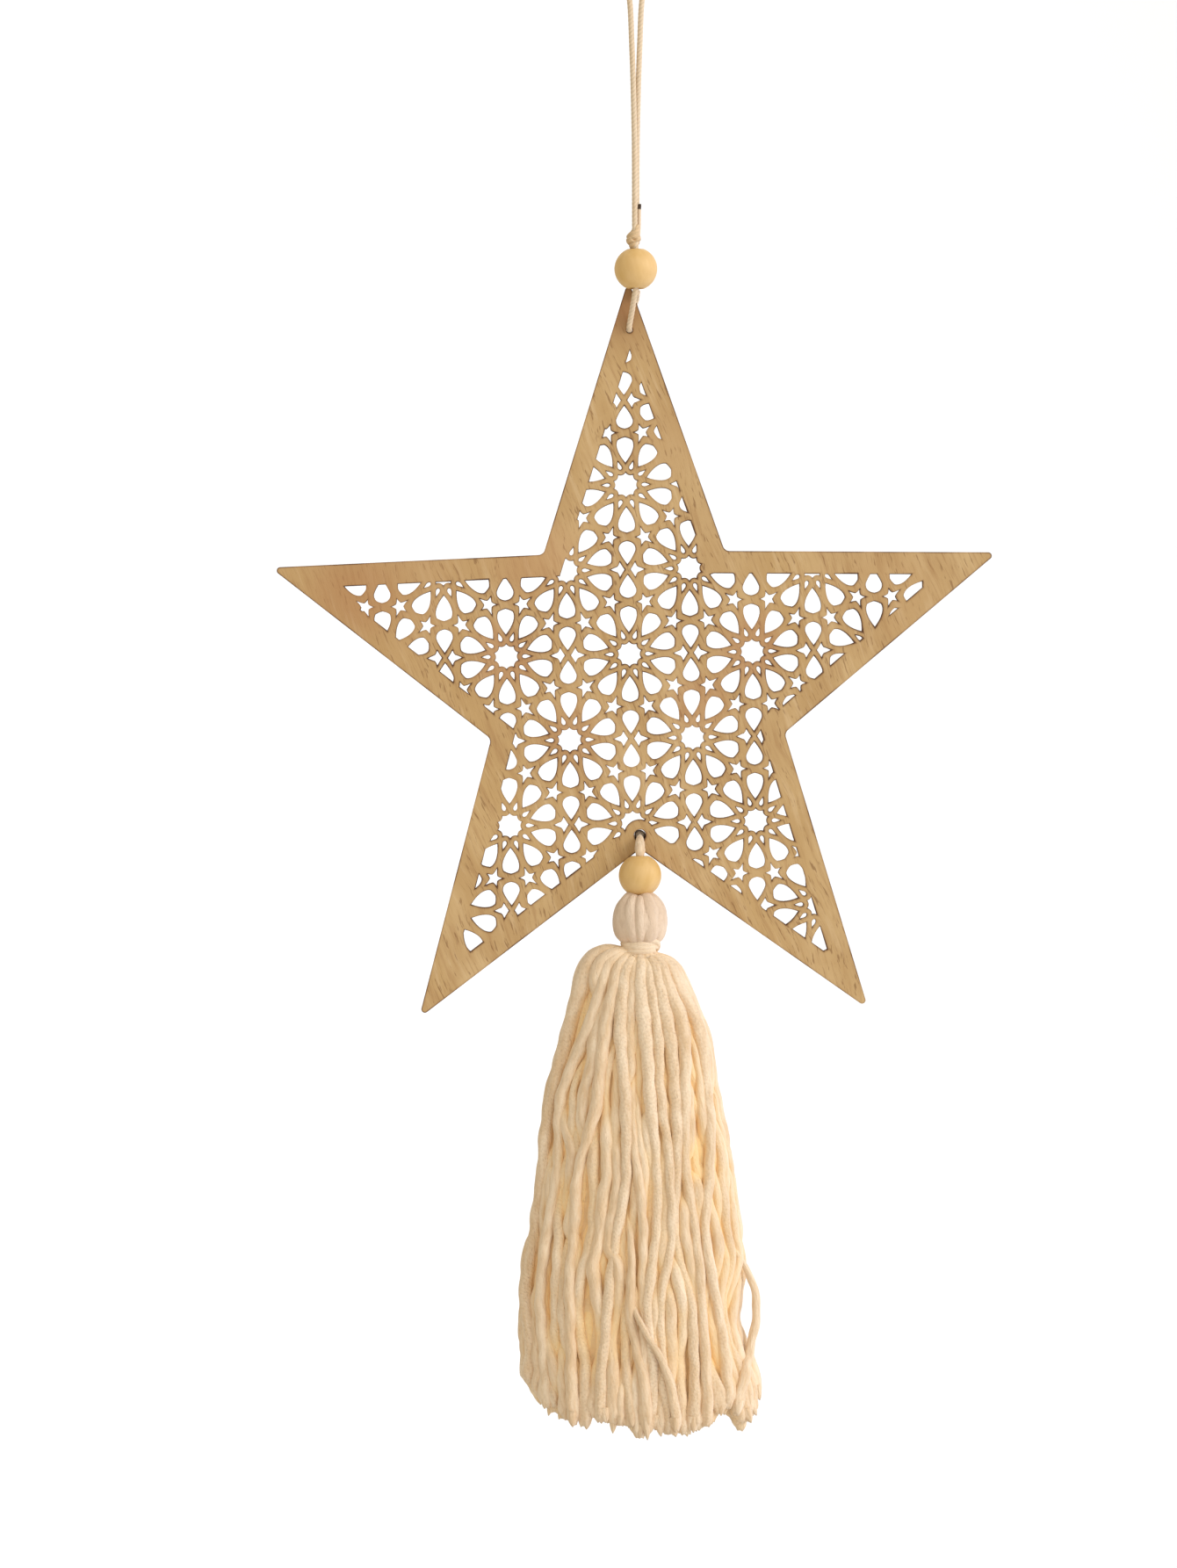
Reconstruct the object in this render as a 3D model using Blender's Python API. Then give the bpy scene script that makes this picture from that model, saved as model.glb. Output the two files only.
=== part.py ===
"""A hanging wall ornament: a flat wooden star cut through with a ten-petal rosette lattice, hung from a
cord loop with a round bead, and below it a second bead and a long yarn tassel.

Metres, Z up. The origin is the inside of the cord loop's top bend, where a nail or hook bears. X runs to the
right of someone looking at the front, and the front faces -Y. The cord, both beads and the tassel hang in the
plane Y = 0, and the plate hangs a little behind it, because the upper bead lies in front of the star's tip.
"""

import math

import bpy
import numpy as np
from mathutils import Vector
from mathutils.geometry import delaunay_2d_cdt

MM = 0.001

# The clearance between neighbouring pieces, and the distance in millimetres below which two points are one.
GAP = 0.3 * MM
MERGED = 1e-5

# The hanging cord, its loop, its knot and the short tail above the knot.
CORD_DIAMETER = 1.6 * MM
LOOP_DROP = 78.3 * MM
LOOP_BEND_RADIUS = 3.3 * MM
KNOT_HEIGHT = 4.4 * MM
KNOT_WIDTH = 4.4 * MM
KNOT_DEPTH = 4.2 * MM
TAIL_LENGTH = 8.5 * MM
TAIL_DIAMETER = 1.1 * MM

# The two turned beads.
BEAD_DIAMETER = 12.0 * MM
BEAD_BORE = 4.2 * MM

# The star-shaped plate: its outline, its solid border and its two holes. A cut smaller than a square of the
# smallest cut's side isn't made.
PLATE_THICKNESS = 3.0 * MM
STAR_TIP_RADIUS = 107.8 * MM
STAR_NOTCH_RADIUS = 43.5 * MM
STAR_TALLNESS = 1.061
STAR_TILT_DEGREES = 1.2
STAR_SHIFT = 0.3 * MM
TIP_ROUNDING = 1.0 * MM
NOTCH_ROUNDING = 2.0 * MM
BORDER_WIDTH = 6.2 * MM
TIP_OVERLAP = 1.1 * MM
CORD_HOLE_DIAMETER = 2.5 * MM
CORD_HOLE_FROM_TIP = 14.2 * MM
YARN_HOLE_DIAMETER = 3.3 * MM
YARN_HOLE_FROM_NOTCH = 3.9 * MM
TAB_RADIUS = 4.5 * MM
SMALLEST_CUT = 1.2 * MM

# The rosette lattice. A rosette fills a ten-sided cell of this apothem, and the other sizes are shares of it.
CELL_APOTHEM = 14.75 * MM
LATTICE_SHIFT = (-1.9 * MM, 8.9 * MM)
HUB_RADIUS = 0.217
PETAL_SIDE = ((0.423, 0.0), (0.610, 0.128), (0.845, 0.146))
PETAL_END = 0.915
STAR_LONG_POINT = 0.200
STAR_SHORT_POINT = 0.152
STAR_INNER_CORNER = 0.080
DROP_SIDE = ((0.100, 0.0), (0.290, 0.143), (0.475, 0.130))
DROP_END = 0.545
DART = ((0.058, 0.0), (0.147, -0.140), (0.190, -0.055), (0.323, 0.0), (0.190, 0.055), (0.147, 0.140))

# The yarn that ties the tassel to the plate through the lower bead.
YARN_DIAMETER = 2.8 * MM
YARN_SQUEEZED = 1.7 * MM
YARN_PINCHED = 1.2 * MM
YARN_LEG_OFFSET = 1.0 * MM
LOWER_BEAD_GAP = 0.9 * MM

# The tassel: a folded bundle of yarn with a round head, a bound neck and a long skirt.
HEAD_HEIGHT = 12.4 * MM
HEAD_WIDTH = 16.0 * MM
HEAD_DEPTH = 15.0 * MM
NECK_RADIUS = 4.2 * MM
NECK_HEIGHT = 3.0 * MM
BINDING_THICKNESS = 1.2 * MM
BINDING_TURNS = 3
SKIRT_LENGTH = 134.0 * MM
SKIRT_FLATNESS = 0.6
SKIRT_STRANDS = 22
STRAND_RELIEF = 0.11
# Each row of the head: how far down it is and how far out, as shares of its height and of its half width.
HEAD_OUTLINE = ((0.0, 0.26), (-0.10, 0.50), (0.10, 0.80), (0.36, 0.98), (0.62, 1.0), (0.86, 0.86))
# Each row of the skirt: how far down it is, and its reach to the left and right, as shares of the length.
SKIRT_OUTLINE = (
    (0.013, 0.094, 0.068),
    (0.060, 0.137, 0.104),
    (0.130, 0.151, 0.130),
    (0.270, 0.190, 0.157),
    (0.460, 0.220, 0.198),
    (0.700, 0.248, 0.226),
    (0.900, 0.250, 0.232),
    (1.000, 0.222, 0.240),
)
# The hem: how far in its underside's edge lies, how much shorter the left yarn is, and how ragged it is.
HEM_INSET = 0.8
HEM_LEFT_RISE = 0.085
HEM_RAGGEDNESS = 0.014

# How finely the round pieces are faceted.
BEAD_ROWS = 8
BEAD_SIDES = 16
KNOT_ROWS = 9
KNOT_SIDES = 12
BINDING_SIDES = 16
HOLE_SIDES = 12
TAB_SIDES = 20
CORNER_STEPS = 4


def clear_scene():
    for old in list(bpy.data.objects):
        bpy.data.objects.remove(old, do_unlink=True)


def material(name, colour, roughness):
    made = bpy.data.materials.new(name)
    made.use_nodes = True
    shader = made.node_tree.nodes["Principled BSDF"]
    shader.inputs["Base Color"].default_value = (*colour, 1.0)
    shader.inputs["Roughness"].default_value = roughness
    return made


def add(name, data, surface):
    """Puts a curve or a mesh into the scene as a named object with its material."""
    made = bpy.data.objects.new(name, data)
    made.data.materials.append(surface)
    bpy.context.scene.collection.objects.link(made)
    return made


def closed_grid(name, rings, surface, joined=False):
    """A closed skin over rings of points, each ring around the same way.

    The end rings shrink to a point each, or, where joined is set, the last ring meets the first."""
    rings = np.array(rings, float)
    count, around = rings.shape[:2]
    index = np.arange(count * around).reshape(count, around)
    upper = index if joined else index[:-1]
    lower = np.roll(index, -1, axis=0) if joined else index[1:]
    quads = np.stack([upper, lower, np.roll(lower, -1, axis=1), np.roll(upper, -1, axis=1)], axis=-1)
    faces = quads.reshape(-1, 4).tolist()
    points = rings.reshape(-1, 3).tolist()
    if not joined:
        for end in (0, -1):
            middle = len(points)
            points.append(rings[end].mean(axis=0).tolist())
            pairs = zip(index[end].tolist(), np.roll(index[end], -1).tolist())
            faces += [(a, b, middle) if end == 0 else (b, a, middle) for a, b in pairs]
    mesh = bpy.data.meshes.new(name)
    mesh.from_pydata(points, [], faces)
    mesh.shade_smooth()
    mesh.set_sharp_from_angle(angle=math.radians(40))
    return add(name, mesh, surface)


def smooth_route(points, spacing):
    """Points about the spacing apart along a smooth curve that passes through the given ones.

    Each stretch is a Catmull-Rom curve. Columns after the third, such as a thickness, are carried along."""
    points = np.array(points, float)
    padded = np.concatenate([[2 * points[0] - points[1]], points, [2 * points[-1] - points[-2]]])
    t = np.linspace(0, 1, 16, endpoint=False)[:, None]
    pieces = [
        0.5 * (2 * b + (c - a) * t + (2 * a - 5 * b + 4 * c - d) * t**2 + (3 * b - a - 3 * c + d) * t**3)
        for a, b, c, d in zip(padded, padded[1:], padded[2:], padded[3:])
    ]
    fine = np.concatenate([*pieces, points[-1:]])
    along = np.concatenate([[0], np.cumsum(np.linalg.norm(np.diff(fine[:, :3], axis=0), axis=1))])
    even = np.linspace(0, along[-1], max(3, round(along[-1] / spacing) + 1))
    return np.stack([np.interp(even, along, fine[:, k]) for k in range(fine.shape[1])], axis=1)


def tube(name, route, diameter, surface, spacing):
    """A round tube along the route. A fourth column of the route is the tube's own diameter there."""
    line = smooth_route(route, spacing)
    curve = bpy.data.curves.new(name, "CURVE")
    curve.dimensions = "3D"
    curve.bevel_depth = diameter / 2
    curve.bevel_resolution = 2
    curve.use_fill_caps = True
    spline = curve.splines.new("POLY")
    spline.points.add(len(line) - 1)
    spline.points.foreach_set("co", np.pad(line[:, :3], ((0, 0), (0, 1)), constant_values=1.0).ravel())
    if line.shape[1] > 3:
        spline.points.foreach_set("radius", line[:, 3] / diameter)
    return add(name, curve, surface)


def turned(outline, degrees):
    """A flat outline turned about the origin, anticlockwise."""
    c, s = math.cos(math.radians(degrees)), math.sin(math.radians(degrees))
    return np.array(outline, float) @ np.array([[c, s], [-s, c]])


def circle(radius, centre, sides):
    angle = np.arange(sides) * 2 * math.pi / sides
    return np.array(centre) + radius * np.stack([np.cos(angle), np.sin(angle)], axis=1)


def star_corners():
    """The ten sharp corners of the star, tips and notches in turn, anticlockwise from the top tip."""
    angle = np.radians(90 + 36 * np.arange(10))
    radius = np.where(np.arange(10) % 2, STAR_NOTCH_RADIUS, STAR_TIP_RADIUS)
    return np.stack([radius * np.cos(angle), STAR_TALLNESS * radius * np.sin(angle)], axis=1)


def inset(corners, distance):
    """The corners of the outline that runs this far inside a closed anticlockwise one."""
    before, after = corners - np.roll(corners, 1, axis=0), np.roll(corners, -1, axis=0) - corners
    moved = []
    for corner, a, b in zip(corners, before, after):
        inward = [np.array([-side[1], side[0]]) / np.linalg.norm(side) for side in (a, b)]
        moved.append(corner + np.linalg.solve(np.array(inward), np.full(2, distance)))
    return np.array(moved)


def rounded(corners, radii, steps):
    """The outline with an arc of the given radius at each corner."""
    points = []
    for before, corner, after, radius in zip(np.roll(corners, 1, 0), corners, np.roll(corners, -1, 0), radii):
        a, b = (side / np.linalg.norm(side) for side in (before - corner, after - corner))
        half = math.acos(np.clip(a @ b, -1, 1)) / 2
        middle = corner + (a + b) / np.linalg.norm(a + b) * radius / math.sin(half)
        first, last = (corner + side * radius / math.tan(half) - middle for side in (a, b))
        sweep = math.atan2(first[0] * last[1] - first[1] * last[0], first @ last)
        turn = np.linspace(0, math.degrees(sweep), steps)
        points += [middle + turned([first], degrees)[0] for degrees in turn]
    return np.array(points)


def mirrored(side, end):
    """A closed outline from one side, which starts on the X axis, and the place where it meets it again."""
    side = np.array(side, float)
    return np.concatenate([side[:1], side[1:] * [1, -1], [[end, 0.0]], side[:0:-1]])


def five_point_star(towards):
    """A small star whose long points face the two rosettes that it lies between."""
    outline = []
    for k in range(5):
        direction = towards[0] + 72 * k
        facing = (direction - towards[0]) % 360 == 0 or (direction - towards[1]) % 360 == 0
        length = STAR_LONG_POINT if facing else STAR_SHORT_POINT
        outline += [turned([[length, 0]], direction)[0], turned([[STAR_INNER_CORNER, 0]], direction + 36)[0]]
    return np.array(outline)


def rosette_cuts():
    """The cuts of one repeat of the lattice about its rosette, in shares of the cell's apothem."""
    corner = 1 / math.cos(math.radians(18))
    cuts = [circle(HUB_RADIUS, (0, 0), 10)]
    cuts += [turned(mirrored(PETAL_SIDE, PETAL_END), 18 + 36 * k) for k in range(10)]
    for at, other in ((36, 72), (72, 36), (108, 144), (144, 108)):
        place = corner * np.array([math.cos(math.radians(at)), math.sin(math.radians(at))])
        cuts.append(five_point_star((at + 180, other)) + place)
    crossing = np.array([2 * math.cos(math.radians(54)), 0.0])
    cuts += [turned(mirrored(DROP_SIDE, DROP_END), side) + crossing for side in (90, 270)]
    cuts += [turned(DART, side) + crossing for side in (0, 180)]
    return cuts


def lattice_cuts(reach):
    """Every repeat's cuts over the plate, in the star's own upright plane."""
    across = 2 * math.cos(math.radians(54)) * CELL_APOTHEM
    down = 2 * math.sin(math.radians(54)) * CELL_APOTHEM
    repeats = math.ceil(reach / across) + 1
    one = rosette_cuts()
    placed = []
    for i in range(-repeats, repeats + 1):
        for j in range(-repeats, repeats + 1):
            middle = np.array(LATTICE_SHIFT) + [i * across, j * down]
            if (i + j) % 2 == 0 and np.abs(middle).max() < reach + 2 * CELL_APOTHEM:
                placed += [CELL_APOTHEM * cut + middle for cut in one]
    return placed


def outlines_of(triangles):
    """The closed outlines round a flat set of anticlockwise triangles, as lists of point numbers."""
    sides = {(a, b) for triangle in triangles for a, b in zip(triangle, triangle[1:] + triangle[:1])}
    ahead = {a: b for a, b in sides if (b, a) not in sides}
    outlines = []
    while ahead:
        first = min(ahead)
        outline = [first]
        while ahead[outline[-1]] != first:
            outline.append(ahead.pop(outline[-1]))
        ahead.pop(outline[-1])
        outlines.append(outline)
    return outlines


def signed_area(outline):
    x, y = np.array(outline).T
    return np.sum(x * np.roll(y, -1) - y * np.roll(x, -1)) / 2


def triangulated(outlines):
    """The flat triangles that closed outlines enclose, and which of the outlines each triangle lies in."""
    starts = np.cumsum([0] + [len(outline) for outline in outlines]).tolist()
    loops = [list(range(a, b)) for a, b in zip(starts, starts[1:])]
    points = [Vector(point) for point in np.concatenate(outlines) / MM]
    points, _, triangles, _, _, sources = delaunay_2d_cdt(points, [], loops, 1, MERGED, True)
    return np.array(points) * MM, [list(triangle) for triangle in triangles], sources


def kept_cuts(cuts, window, tab):
    """What is left of each cut inside the window and outside the tab, without the slivers."""
    points, triangles, sources = triangulated([window, tab, *cuts])
    cut_away = [0 in inside and 1 not in inside and max(inside) > 1 for inside in sources]
    kept = [points[outline] for outline in outlines_of([t for t, cut in zip(triangles, cut_away) if cut])]
    return [outline for outline in kept if signed_area(outline) > SMALLEST_CUT**2]


def star_outline():
    return rounded(star_corners(), [TIP_ROUNDING, NOTCH_ROUNDING] * 5, CORNER_STEPS)


def plate_holes():
    """The places of the cord's hole under the top tip and the yarn's hole over the lowest notch."""
    corners = star_corners()
    return np.array([[0.0, corners[0][1] - CORD_HOLE_FROM_TIP], [0.0, corners[5][1] + YARN_HOLE_FROM_NOTCH]])


def star_plate(centre, setback, surface):
    """The plate: its flat outline filled round all its cuts, and thickened."""
    cord_hole, yarn_hole = plate_holes()
    window = inset(star_corners(), BORDER_WIDTH)
    tab = circle(TAB_RADIUS, yarn_hole, TAB_SIDES)
    cuts = kept_cuts(lattice_cuts(STAR_TALLNESS * STAR_TIP_RADIUS), window, tab)
    cuts.append(circle(CORD_HOLE_DIAMETER / 2, cord_hole, HOLE_SIDES))
    cuts.append(circle(YARN_HOLE_DIAMETER / 2, yarn_hole, HOLE_SIDES))
    flat, triangles, sources = triangulated([star_outline(), *cuts])
    wood = [triangle for triangle, source in zip(triangles, sources) if source == [0]]
    mesh = bpy.data.meshes.new("star_plate")
    mesh.from_pydata(np.pad(flat, ((0, 0), (0, 1))).tolist(), [], wood)
    plate = add("star_plate", mesh, surface)
    thickness = plate.modifiers.new("thickness", "SOLIDIFY")
    thickness.thickness = PLATE_THICKNESS
    thickness.offset = 0.0
    plate.location = (centre[0], setback, centre[1])
    plate.rotation_euler = (math.pi / 2, math.radians(-STAR_TILT_DEGREES), 0)
    return plate


def level_ring(radius, height, sides):
    around = np.arange(sides) * 2 * math.pi / sides
    return np.stack([radius * np.cos(around), radius * np.sin(around), np.full(sides, height)], axis=1)


def bead(name, centre, surface):
    """A turned ball with a straight bore: its outer arc and its bore, carried round the vertical axis."""
    ball, bore = BEAD_DIAMETER / 2, BEAD_BORE / 2
    rim = math.asin(bore / ball)
    arc = np.linspace(rim, math.pi - rim, BEAD_ROWS)
    profile = np.stack([ball * np.sin(arc), ball * np.cos(arc)], axis=1)
    rings = [level_ring(radius, height, BEAD_SIDES) + centre for radius, height in profile]
    return closed_grid(name, rings, surface, joined=True)


def knot(centre, surface):
    """An overhand knot pulled tight: a rounded lump with two crossing turns that wind round it."""
    down = np.linspace(0.06, math.pi - 0.06, KNOT_ROWS)[:, None]
    around = np.arange(KNOT_SIDES)[None, :] * 2 * math.pi / KNOT_SIDES
    swell = np.sin(down) ** 0.75 * (1 + 0.10 * np.cos(2 * around + 2.4 * down))
    lean = -0.08 * KNOT_WIDTH * (1 - np.cos(down))
    rings = np.stack(
        [
            KNOT_WIDTH / 2 * swell * np.cos(around) + lean + 0 * around,
            KNOT_DEPTH / 2 * swell * np.sin(around),
            KNOT_HEIGHT / 2 * np.cos(down) + 0 * around,
        ],
        axis=-1,
    )
    return closed_grid("cord_knot", rings + centre, surface)


def hem_share(around):
    """How long the yarn is at each angle, as a share of the longest: shorter to the left, and ragged."""
    left = np.clip(-np.cos(around), 0, 1) ** 6
    ragged = np.sin(7 * around + 0.6) + np.sin(16 * around + 1.9)
    return 1 - HEM_LEFT_RISE * left - HEM_RAGGEDNESS * (1 + ragged / 2)


def tassel(top, surface):
    """The bundle as one fluted form: a dished head, a drawn-in neck, and a skirt with a ragged hem.

    Every ring has two points to a strand, one on its crown and one in the groove beside it."""
    count = 2 * SKIRT_STRANDS
    around = np.arange(count) * 2 * math.pi / count
    groove = np.arange(count) % 2

    def ring(drop, left, right, depth, relief):
        reach = np.where(np.cos(around) < 0, left, right) * (1 - relief * groove)
        x = reach * np.cos(around)
        y = depth * (1 - relief * groove) * np.sin(around)
        return np.stack([x, y, np.broadcast_to(-drop, count)], axis=1) + top

    neck = HEAD_HEIGHT + NECK_HEIGHT
    rings = []
    for down, out in HEAD_OUTLINE:
        half_width, half_depth = HEAD_WIDTH / 2 * out, HEAD_DEPTH / 2 * out
        rings.append(ring(HEAD_HEIGHT * down, half_width, half_width, half_depth, STRAND_RELIEF))
    rings += [ring(drop, NECK_RADIUS, NECK_RADIUS, NECK_RADIUS, 0.0) for drop in (HEAD_HEIGHT, neck)]
    share = hem_share(around)
    for down, left, right in SKIRT_OUTLINE:
        depth = max(SKIRT_FLATNESS * SKIRT_LENGTH * (left + right) / 2, NECK_RADIUS)
        drop = neck + SKIRT_LENGTH * down * share
        rings.append(ring(drop, left * SKIRT_LENGTH, right * SKIRT_LENGTH, depth, STRAND_RELIEF))
    inner = rings[-1] - top
    inner[:, :2] *= HEM_INSET
    inner[:, 2] += (1 - HEM_INSET) * HEM_LEFT_RISE * SKIRT_LENGTH
    rings.append(inner + top)
    return closed_grid("tassel", rings, surface)


def binding(top, surface):
    """The yarn wound round the neck: a ring whose section has one bump for each turn."""
    inner = NECK_RADIUS + GAP
    height = NECK_HEIGHT - 2 * GAP
    down = np.linspace(0, 1, 2 * BINDING_TURNS + 1)
    bump = inner + BINDING_THICKNESS * (0.7 + 0.3 * (np.arange(len(down)) % 2))
    section = [*zip(bump, -GAP - height * down), (inner, -GAP - height), (inner, -GAP)]
    rings = [level_ring(radius, z - HEAD_HEIGHT, BINDING_SIDES) + top for radius, z in section]
    return closed_grid("tassel_binding", rings, surface, joined=True)


def build():
    clear_scene()
    wood = material("star_plywood", (0.58, 0.38, 0.20), 0.62)
    beech = material("bead_wood", (0.70, 0.46, 0.21), 0.5)
    string = material("cord", (0.80, 0.64, 0.45), 0.8)
    cream = material("tassel_yarn", (0.82, 0.66, 0.46), 0.9)

    ball, half_cord = BEAD_DIAMETER / 2, CORD_DIAMETER / 2
    apart = half_cord + GAP / 2
    knot_at = np.array([0.0, 0.0, -LOOP_DROP])
    bead_at = knot_at - [0, 0, KNOT_HEIGHT / 2 + GAP + ball]

    # The plate's top edge reaches a little above the upper bead's underside, so the plate lies behind it.
    outline = turned(star_outline(), STAR_TILT_DEGREES)
    highest = outline[outline[:, 1].argmax()]
    star_at = np.array([STAR_SHIFT, bead_at[2] - ball + TIP_OVERLAP - highest[1]])
    tip = star_at + highest - [bead_at[0], bead_at[2]]
    reach = (ball + GAP) ** 2 - tip @ tip
    setback = PLATE_THICKNESS / 2 + max(math.sqrt(max(reach, 0.0)), half_cord)
    star_plate(star_at, setback, wood)
    cord_hole, yarn_hole = turned(plate_holes(), STAR_TILT_DEGREES) + star_at
    side = star_corners()[4] - star_corners()[5]
    notch_drop = NOTCH_ROUNDING * (np.linalg.norm(side) / abs(side[0]) - 1)
    notch_top = yarn_hole[1] - YARN_HOLE_FROM_NOTCH - notch_drop

    bead("top_bead", bead_at, beech)
    low_bead_at = np.array([yarn_hole[0], 0.0, notch_top - LOWER_BEAD_GAP - ball])
    bead("bottom_bead", low_bead_at, beech)

    # The loop: both strands side by side at the top bend, and one before the other at the knot.
    bend = LOOP_BEND_RADIUS
    knot_top = knot_at[2] + KNOT_HEIGHT / 2 + GAP
    side = np.array([[1.0, 1.0, 1.0], [-1.0, -1.0, 1.0]])
    strand = np.array(
        [
            [0.30 * MM, apart, knot_top],
            [0.32 * MM, apart, knot_top * 0.85],
            [0.38 * MM, apart, knot_top * 0.68],
            [0.70 * MM, 0.72 * MM, knot_top * 0.48],
            [1.10 * MM, 0.35 * MM, knot_top * 0.32],
            [1.65 * MM, 0.10 * MM, knot_top * 0.16],
            [0.84 * bend, 0.0, -1.9 * bend],
            [bend, 0.0, half_cord - bend],
        ]
    )
    angles = np.radians((45, 90, 135))
    over = np.stack([bend * np.cos(angles), 0 * angles, half_cord - bend + bend * np.sin(angles)], axis=1)
    route = np.concatenate([strand * side[0], over, (strand * side[1])[::-1]])
    tube("hanging_cord", route, CORD_DIAMETER, string, 2.8 * CORD_DIAMETER)
    knot(knot_at, string)
    tail = np.array([[1.45, -0.55, 0.0], [1.40, -0.60, 0.35], [1.42, -0.55, 0.7], [1.48, -0.5, 1.0]])
    tail = tail * [MM, MM, TAIL_LENGTH] + [0, 0, knot_top]
    tube("cord_tail", tail, TAIL_DIAMETER, string, 2 * TAIL_DIAMETER)

    # The cord below the knot: down through the bead, into the plate's hole from the front, out behind, round
    # the tip's right shoulder and up through the bead again.
    front = setback - PLATE_THICKNESS / 2 - half_cord - GAP
    back = setback + PLATE_THICKNESS / 2 + half_cord + GAP
    x, z = cord_hole
    under = bead_at[2] - ball
    top_end = bead_at[2] + ball
    edge = tip[0] + 2.1 * MM
    legs = [
        [bead_at[0], -apart, top_end],
        [bead_at[0], -apart, bead_at[2]],
        [bead_at[0], -apart, under + 1.2 * MM],
        [bead_at[0] - 0.2 * MM, -0.6 * apart, under - 1.0 * MM],
        [(bead_at[0] + x) / 2, 0.5 * front, (under + z) / 2],
        [x, front, z + 2.6 * MM],
        [x, front + 0.05 * MM, z + 1.1 * MM],
        [x, front + 0.7 * MM, z - 0.05 * MM],
        [x, setback, z - 0.2 * MM],
        [x, back - 0.7 * MM, z - 0.05 * MM],
        [x, back - 0.05 * MM, z + 1.1 * MM],
        [x, back, z + 2.6 * MM],
        [x + 0.6 * MM, back, z + 4.6 * MM],
        [(x + edge) / 2, back, under - 4.6 * MM],
        [edge - 0.2 * MM, back - 0.1 * MM, under - 1.9 * MM],
        [edge, setback + 1.3 * MM, under - 0.3 * MM],
        [edge + 0.1 * MM, setback - 0.9 * MM, under - 0.2 * MM],
        [bead_at[0] + 0.4 * MM, 0.55 * setback, under - 0.8 * MM],
        [bead_at[0] + 0.2 * MM, apart + 0.6 * MM, under - 0.6 * MM],
        [bead_at[0], apart, under + 0.8 * MM],
        [bead_at[0], apart, bead_at[2]],
        [bead_at[0], apart, top_end],
    ]
    tube("star_cord", legs, CORD_DIAMETER, string, 0.9 * CORD_DIAMETER)

    # The tassel's own tie: up through the lower bead, through the plate's lower hole and down again behind.
    x, z = yarn_hole
    plain, tight, pinched = YARN_DIAMETER, YARN_SQUEEZED, YARN_PINCHED
    in_hole = YARN_HOLE_DIAMETER - 3 * GAP
    half_plate = PLATE_THICKNESS / 2
    front = setback - half_plate - plain / 2 - GAP / 2
    back = setback + half_plate + plain / 2 + GAP / 2
    rim = low_bead_at[2] + ball
    leg = YARN_LEG_OFFSET
    tie = [
        [x, -leg, rim - 2 * ball + GAP, tight],
        [x, -leg, low_bead_at[2], tight],
        [x, -leg, rim - 0.6 * MM, tight],
        [x, -0.9 * leg, rim + 0.8 * MM, 1.1 * tight],
        [x, 0.35 * front, rim + 2.7 * MM, 0.9 * plain],
        [x, front, z - 0.9 * MM, plain],
        [x, setback - half_plate, z + 0.05 * MM, in_hole],
        [x, setback, z + 0.15 * MM, in_hole],
        [x, setback + half_plate, z + 0.05 * MM, in_hole],
        [x, back, z - 0.9 * MM, plain],
        [x, back - 0.1 * MM, z - 2.4 * MM, 0.8 * plain],
        [x, setback + half_plate + pinched, notch_top + 0.3 * MM, 1.5 * pinched],
        [x, setback + 1.9 * MM, notch_top - 0.9 * MM, pinched],
        [x, setback, notch_top - 1.1 * MM, pinched],
        [x, setback - 1.9 * MM, notch_top - 0.8 * MM, pinched],
        [x, 0.40 * setback, rim + 0.75 * MM, pinched],
        [x, leg + 0.2 * MM, rim + 0.35 * MM, 0.9 * tight],
        [x, leg, rim - 1.2 * MM, tight],
        [x, leg, low_bead_at[2], tight],
        [x, leg, rim - 2 * ball + GAP, tight],
    ]
    tube("tassel_tie", tie, YARN_DIAMETER, cream, 0.55 * YARN_DIAMETER)

    tassel_top = low_bead_at - [0, 0, ball + GAP]
    tassel(tassel_top, cream)
    binding(tassel_top, cream)


build()
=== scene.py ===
"""A wooden star ornament on its cord, with two beads and a long cream tassel, dressed for a close look.

Metres, Z up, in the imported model's own frame: the origin is where the cord loop bears on its hook, and the
front faces -Y. Sizes are written in millimetres and multiplied by MM.
"""

import math

import bpy
import numpy as np
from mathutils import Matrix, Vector
from mathutils.geometry import delaunay_2d_cdt


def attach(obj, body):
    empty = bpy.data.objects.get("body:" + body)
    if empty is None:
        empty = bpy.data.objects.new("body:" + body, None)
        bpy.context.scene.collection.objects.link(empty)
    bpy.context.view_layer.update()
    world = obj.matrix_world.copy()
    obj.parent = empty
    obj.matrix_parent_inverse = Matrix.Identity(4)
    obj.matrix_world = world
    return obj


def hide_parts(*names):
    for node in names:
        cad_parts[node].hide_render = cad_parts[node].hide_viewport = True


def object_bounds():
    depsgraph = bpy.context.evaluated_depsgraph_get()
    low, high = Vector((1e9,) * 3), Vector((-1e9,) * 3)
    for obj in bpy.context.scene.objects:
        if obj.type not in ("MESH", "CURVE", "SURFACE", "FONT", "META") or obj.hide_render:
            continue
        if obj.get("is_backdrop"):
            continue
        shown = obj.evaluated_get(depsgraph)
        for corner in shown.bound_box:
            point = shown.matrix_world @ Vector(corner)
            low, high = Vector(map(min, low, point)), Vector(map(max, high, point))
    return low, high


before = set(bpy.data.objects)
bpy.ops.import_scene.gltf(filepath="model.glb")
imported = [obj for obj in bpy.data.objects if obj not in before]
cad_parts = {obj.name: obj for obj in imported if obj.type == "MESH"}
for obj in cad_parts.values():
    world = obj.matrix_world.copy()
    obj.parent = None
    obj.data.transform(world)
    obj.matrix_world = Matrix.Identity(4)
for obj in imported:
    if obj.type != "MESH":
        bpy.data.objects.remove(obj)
cad_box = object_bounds()
scene = bpy.context.scene
MM = 0.001

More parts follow.
